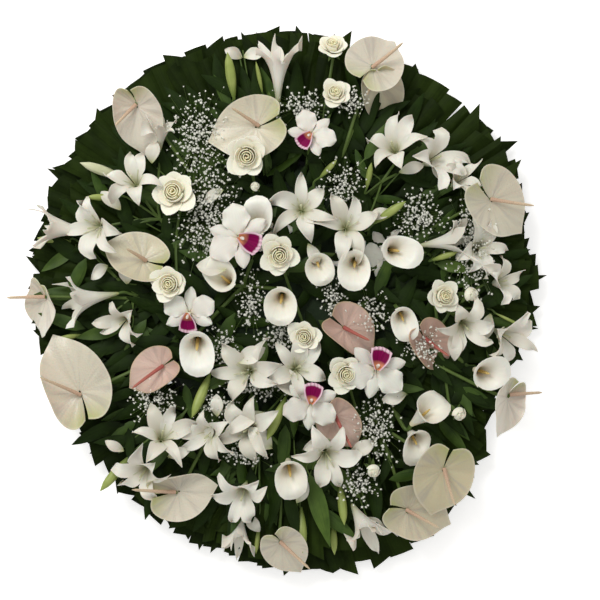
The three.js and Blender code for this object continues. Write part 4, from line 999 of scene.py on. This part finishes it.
# %% Petals in the gaps
SINGLE_PETALS = [
    (-92, 514, 70, 20, 44, 13), (-96, 512, 72, 150, 40, 12), (-134, 231, 104, 200, 46, 11),
    (-336, 34, 104, 90, 40, 14), (-378, 71, 92, 200, 42, 13), (-147, -244, 108, 90, 46, 13),
    (-164, -296, 100, 100, 42, 16), (-32, -309, 104, 140, 66, 21), (-344, -317, 96, 150, 44, 10),
    (21, -428, 84, 60, 52, 13), (-284, 288, 100, 90, 46, 15), (353, -62, 108, 265, 66, 15),
    (-46, -147, 116, 340, 92, 23), (-104, -130, 122, 30, 66, 18), (-48, -236, 112, 195, 92, 15),
    (90, -294, 108, 200, 60, 15), (132, -325, 100, 30, 58, 15), (330, 250, 96, 120, 50, 12),
    (404, 70, 96, 70, 50, 12), (428, -30, 92, 250, 56, 13), (-350, 190, 96, 130, 56, 13),
    (-404, 120, 90, 60, 46, 12), (236, 268, 108, 20, 54, 12), (-250, -330, 96, 20, 52, 12),
    (-84, -452, 72, 300, 46, 12), (166, -462, 74, 330, 48, 13), (-128, 66, 116, 170, 62, 19),
    (170, 170, 112, 30, 50, 12), (44, 118, 108, 300, 48, 12), (250, -196, 104, 200, 52, 14),
]


def single_petal(length, width, chance):
    """Half width is a hump, the middle line rises by sin(2.5u) and then curls under, and the
    edges lift by v^2, more on one side."""
    u, v = grid(13, 7)
    side = v * (width * hump(u, 1.15, 0.75) + 0.8)
    arch = 0.22 * length * np.sin(2.5 * u) - 0.2 * length * rise(u, 0.7, 1.0) ** 2
    edge = (0.3 * width + 0.25 * width * chance.normal() * v) * v * v + 1.5 * np.sin(8 * u + 3 * v) * v * v
    swerve = 0.12 * length * chance.normal() * u * u
    return sheet(stack(length * u, side + swerve, arch + edge), 0.9)


posy, chance = Posy(), np.random.default_rng(180)
for x, y, z, heading, length, width in SINGLE_PETALS:
    turned = head_turn(heading, chance.uniform(-16, 8))
    posy.add(single_petal(length, width, chance), "loose_petal", (x, y, z), turned, chance.uniform(0, 0.9))
    stalk(posy, (x, y, z), turned, 1.5, 1, (x, y))
posy.build("petals_in_the_gaps", "white_petal")
print("single petals:", len(SINGLE_PETALS))

# %% [markdown]
# ## The palm collar
#
# A fan palm leaf is pleated like a paper fan. Florists cut its points off square, so each pleat
# ends in its own small step, and some pleats are slit apart. Each of the eight packed fans gets
# its pleats one by one, and shorter fans lie on top of them, as in the real collar. Its outline
# is a circle that swells in some places, most at the bottom, and draws in at others.

# %% The collar's outline
ROUND = 554
# Where the outline swells or draws in: the direction and the bell's width in degrees, and by how
# many millimetres
SWELLS = [(40, 20, 16), (105, 36, 24), (208, 30, -24), (289, 24, 44), (338, 19, -62), (14, 12, -16)]


def outline(angle):
    """The trimmed radius in a direction, in degrees: the round one plus, for each swell, a bell
    of e^-(d/w)^2, where d is how far the direction is from the swell's middle."""
    return ROUND + sum(by * np.exp(-((np.mod(angle - at + 180, 360) - 180) / wide) ** 2)
                       for at, wide, by in SWELLS)


def reach_to(start, way, radius):
    """How far from a start, along a way, the circle of that radius round the middle is."""
    ahead = start @ way
    return -ahead + np.sqrt(max(radius ** 2 - start @ start + ahead ** 2, 0))


print("radius at the right, top, left and bottom:", outline(np.arange(0, 360, 90)).round())

# %% [markdown]
# Bending one pleated sheet would be quicker, but real pleats part at their ends. So a leaf is made
# pleat by pleat, and each pleat laps over the next. The eight leaves that stand for solids fan out
# widest, and the eleven on top of them are shorter and narrower.

# %% Palm leaves
PIVOT, USUAL_REACH, LAP = 150, 550, 1.22
LOWER_LEAVES, UPPER_LEAVES = 8, 11


def palm_leaf(posy, azimuth, swirl, level, half, inner, share, pleats, chance):
    """Each pleat leaves the leaf's pivot in its own direction, and is as wide as its share of
    the leaf there and a little more, so it laps over the next. Its height is the level, plus a
    fold of (1 - |v|), plus a tilt of v that lets it lie on its neighbour. Its end is cut across
    where the outline is, at a slant."""
    start = PIVOT * np.array([np.cos(np.radians(azimuth)), np.sin(np.radians(azimuth))])
    leaf_tone = chance.uniform(0.1, 0.85)
    u, v = grid(8, 5)
    for k in range(pleats):
        bearing = np.radians(azimuth + swirl + (2 * (k + 0.5) / pleats - 1) * half)
        way = np.array([np.cos(bearing), np.sin(bearing)])
        beside = np.array([-way[1], way[0]])
        near = reach_to(start, way, inner)
        end = start + way * reach_to(start, way, USUAL_REACH)
        rim = outline(np.degrees(np.arctan2(end[1], end[0]))) * share * (1 - abs(chance.normal(0, 0.016)))
        far = reach_to(start, way, rim)
        narrow = chance.choice([LAP, LAP, LAP, 1.0, 0.7])
        wide = np.tan(np.radians(half / pleats)) * lerp(near, far, u)
        wide = wide * lerp(LAP, narrow, rise(u, 0.55, 1))
        along = lerp(near, far + v * chance.normal(0, 9), u)
        flat = start + along[..., None] * way + (v * wide)[..., None] * beside
        fold = (1 - np.abs(v)) * lerp(3.5, 8.0, u) + 1.6 * v
        height = level + fold + chance.normal(0, 1.5) * u * u - 3
        tone = float(np.clip(leaf_tone + chance.normal(0, 0.08), 0, 1))
        posy.add(sheet(stack(flat[..., 0], flat[..., 1], height), 0.9), "palm_green", tone=tone)


for k in range(LOWER_LEAVES):
    posy, chance = Posy(), np.random.default_rng(600 + k)
    azimuth, level = k * 360 / LOWER_LEAVES + 12, 44 if k % 2 else 26
    palm_leaf(posy, azimuth, 10 if k % 2 else -8, level,
              half=49, inner=300, share=1.0, pleats=18, chance=chance)
    # The leaf's own stalk, from the foam's edge to under the pleats
    base, tip = np.array([[254, 0, level - 2.0], [330, 0, level - 1.0]]) @ about("z", azimuth).T
    posy.add(rod(curve_through([base, tip], 6), 5.0, 8), "palm_green", tone=0.6)
    posy.build(f"palm_{k + 1}", "palm", [f"palm_fan_{k + 1}"])
for k in range(UPPER_LEAVES):
    posy, chance = Posy(), np.random.default_rng(650 + k)
    swirl, share = chance.uniform(-26, 26), chance.uniform(0.93, 0.995)
    palm_leaf(posy, k * 33 + 5 * chance.normal(), swirl, 57 + 3 * (k % 2),
              half=27, inner=250, share=share, pleats=11, chance=chance)
    posy.build(f"palm_over_{k + 1}", "palm")
print("palm leaves:", LOWER_LEAVES + UPPER_LEAVES)

# %% [markdown]
# ## Between the flowers
#
# The gaps are dark because they are full of leaves. These are copies of one folded leaf, set at
# seeded places under the blooms, so that no foam shows. Their ends stay inside the collar.

# %% Filler leaves
FILLER_REACH, FILLER_COUNT = 440, 125


def leaf_template():
    """A leaf of length 1, folded up along its midrib."""
    u, v = grid(7, 3)
    half = 0.13 * hump(u, 0.8, 0.8) + 0.004
    return sheet(stack(v * half, 0 * u - 0.05 * np.abs(v) * np.sin(np.pi * u), u), 0.008)


def copies(form, places, turns, sizes):
    """The same small form at many places: each corner times its size and turn, plus its place."""
    corners, quads, fans, spread = form
    turned = np.einsum("nij,vj->nvi", turns * np.asarray(sizes)[:, None, None], corners)
    shift = (np.arange(len(places)) * len(corners))[:, None, None]
    return ((turned + places[:, None]).reshape(-1, 3), (quads + shift).reshape(-1, 4),
            (fans + shift).reshape(-1, 3), np.tile(spread, (len(places), 1)))


def many_turns(heading, tilt, roll):
    """The turns of many copies at once: a roll about the leaf, a tilt and a heading."""
    angles = zip(heading, tilt, roll)
    return np.stack([about("z", h) @ about("y", t) @ about("z", r) for h, t, r in angles])


for part in range(6):
    posy, chance, count = Posy(), np.random.default_rng(700 + part), FILLER_COUNT
    angle = chance.uniform(part * 60, part * 60 + 60, count)
    distance = FILLER_REACH * np.sqrt(chance.uniform(0.0, 1, count))
    places = stack(distance * np.cos(np.radians(angle)), distance * np.sin(np.radians(angle)),
                   chance.uniform(64, 86, count))
    sizes = chance.uniform(70, 125, count)
    turns = many_turns(angle + chance.normal(0, 55, count), chance.uniform(82, 94, count),
                       90 + chance.normal(0, 14, count))
    bright = np.arange(count) % 5 == 0
    for some, finish, tone in ((~bright, "dark_leaf", 0.5), (bright, "leaf_green", 0.2)):
        posy.add(copies(leaf_template(), places[some], turns[some], sizes[some]), finish, tone=tone)
    posy.build(f"filler_leaves_{part + 1}", "palm")
print("filler leaves:", 6 * FILLER_COUNT)

# %% [markdown]
# Gypsophila fills the gaps in clouds. One star with five points is copied to seeded places in
# each cloud, and a stalk like a hair runs from each to the middle of its cloud. A cloud's row has
# its middle and its half width and half height.

# %% Gypsophila clouds
CLOUDS = {
    1: [(-190, 345, 46, 76), (-172, 180, 56, 95), (32, 408, 48, 30), (138, 414, 26, 28),
        (-280, -212, 46, 34)],
    2: [(116, 240, 40, 44), (274, 180, 48, 48), (384, 120, 40, 88), (96, 4, 28, 34), (178, -28, 28, 38),
        (282, -94, 38, 36)],
    3: [(-76, -6, 26, 52), (-14, -74, 36, 34), (-136, -94, 28, 34), (-152, -220, 34, 24),
        (-90, -320, 44, 28), (188, -272, 40, 62), (152, -388, 34, 34), (-60, -180, 60, 26)],
}


def star_form():
    """A ring of ten corners, in turn far and near, between a raised middle and a low one."""
    corner = np.arange(10)
    turn, inward = corner * np.pi / 5, corner % 2 == 1
    radius = np.where(inward, 1.7, 3.2)
    ring = stack(radius * np.cos(turn), radius * np.sin(turn), np.where(inward, 0.0, 0.7))
    corners = np.vstack([ring, [[0, 0, 1.6], [0, 0, -1.4]]])
    after = np.roll(corner, -1)
    upper = np.stack([corner, after, np.full(10, 10)], 1)
    lower = np.stack([after, corner, np.full(10, 11)], 1)
    return corners, np.zeros((0, 4), int), np.vstack([upper, lower]), np.full((12, 2), 0.5)


def sticks(starts, ends, radius):
    """Three-sided sticks between two sets of points: each end is a triangle round its point."""
    way = (ends - starts) / np.linalg.norm(ends - starts, axis=1, keepdims=True)
    side = np.cross(way, [0.3, 0.1, 0.95])
    side /= np.linalg.norm(side, axis=1, keepdims=True)
    other = np.cross(way, side)
    turn = np.radians([0, 120, 240])[None, :, None]
    ring = radius * (np.cos(turn) * side[:, None] + np.sin(turn) * other[:, None])
    corners = np.concatenate([starts[:, None] + ring, ends[:, None] + ring], axis=1)
    quads = np.array([[0, 1, 4, 3], [1, 2, 5, 4], [2, 0, 3, 5]])
    fans = np.array([[2, 1, 0], [3, 4, 5]])
    shift = (np.arange(len(starts)) * 6)[:, None, None]
    return (corners.reshape(-1, 3), (quads + shift).reshape(-1, 4), (fans + shift).reshape(-1, 3),
            np.full((len(starts) * 6, 2), 0.5))


for number, clouds in CLOUDS.items():
    posy, chance = Posy(), np.random.default_rng(800 + number)
    for x, y, wide, high in clouds:
        count = int(wide * high / 10) + 20
        east, north = np.clip(chance.normal(0, 0.55, (2, count)), -1.35, 1.35)
        places = stack(x + wide * east, y + high * north, chance.uniform(98, 126, count))
        turns = many_turns(chance.uniform(0, 360, count), chance.uniform(0, 50, count), np.zeros(count))
        posy.add(copies(star_form(), places, turns, chance.uniform(0.5, 1.2, count)), "gypsophila_white")
        root = stack(x + 0.25 * wide * east, y + 0.25 * high * north, 70)
        posy.add(sticks(root, places - turns[:, :, 2] * 1.2, 0.35), "stalk_green", tone=0.6)
    posy.build(f"gypsophila_clouds_{number}", "gypsophila", [f"gypsophila_{number}"])
print("gypsophila clouds:", sum(map(len, CLOUDS.values())))

# %% [markdown]
# ## Floor, light and camera
#
# The wreath lies on its back on a pale floor. A shadow beside it would blur its outline, so the
# floor glows a little, like a light table.

# %% Floor
FLOOR_HALF, FLOOR_HEIGHT = 6, -0.0006
floor_mesh = bpy.data.meshes.new("floor")
floor_corners = [(x * FLOOR_HALF, y * FLOOR_HALF, FLOOR_HEIGHT)
                 for x, y in ((-1, -1), (1, -1), (1, 1), (-1, 1))]
floor_mesh.from_pydata(floor_corners, [], [(0, 1, 2, 3)])
floor = bpy.data.objects.new("floor", floor_mesh)
bpy.context.scene.collection.objects.link(floor)
paper = Finish("pale_floor", roughness=0.9)
paper.wear(paper.blend(paper.grain(3), colour(246, 246, 246), colour(250, 250, 250)))
paper.shader.inputs["Emission Color"].default_value = (1, 1, 1, 1)
paper.shader.inputs["Emission Strength"].default_value = 0.5
floor_mesh.materials.append(paper.material)
print("floor:", 2 * FLOOR_HALF, "m wide")

# %% [markdown]
# A wide, even sky gives the soft white light, and one large lamp from the top left gives the
# petals a lit side. More lamps would make the petals flat.

# %% Sky and lamp


def look_at(thing, target):
    """Turns an object so that its -Z axis points at a target."""
    thing.rotation_euler = (Vector(target) - thing.location).to_track_quat("-Z", "Y").to_euler()


world = bpy.data.worlds.new("soft_sky")
world.use_nodes = True
world.node_tree.nodes["Background"].inputs["Color"].default_value = (1, 0.985, 0.955, 1)
world.node_tree.nodes["Background"].inputs["Strength"].default_value = 0.6
bpy.context.scene.world = world

lamp_data = bpy.data.lights.new("large_lamp", "AREA")
lamp_data.energy, lamp_data.size = 68, 1.6
lamp_data.color = (1, 0.98, 0.95)
lamp = bpy.data.objects.new("large_lamp", lamp_data)
lamp.location = (-1.3, 1.9, 2.9)
look_at(lamp, (0, 0, 0.1))
bpy.context.scene.collection.objects.link(lamp)
print("lamp:", lamp_data.energy, "W")

# %% [markdown]
# The camera looks straight down, as a new camera does. It is high up, since the photo shows
# hardly any perspective, and its lens is worked out so that a pixel is 2.1 mm on the flowers'
# faces. The wreath's middle is a little left of the picture's.

# %% Camera
PIXEL, PICTURE_WIDTH, MIDDLE_COLUMN = 0.0021, 600, 287
HEIGHT, FACE_HEIGHT = 5.0, 0.11
camera_data = bpy.data.cameras.new("camera")
camera_data.lens = camera_data.sensor_width * (HEIGHT - FACE_HEIGHT) / (PICTURE_WIDTH * PIXEL)
camera = bpy.data.objects.new("camera", camera_data)
camera.location = ((PICTURE_WIDTH / 2 - MIDDLE_COLUMN) * PIXEL, 0, HEIGHT)
bpy.context.scene.collection.objects.link(camera)
bpy.context.scene.camera = camera
bpy.context.scene.view_settings.view_transform = "Standard"
print("lens:", round(camera_data.lens), "mm")
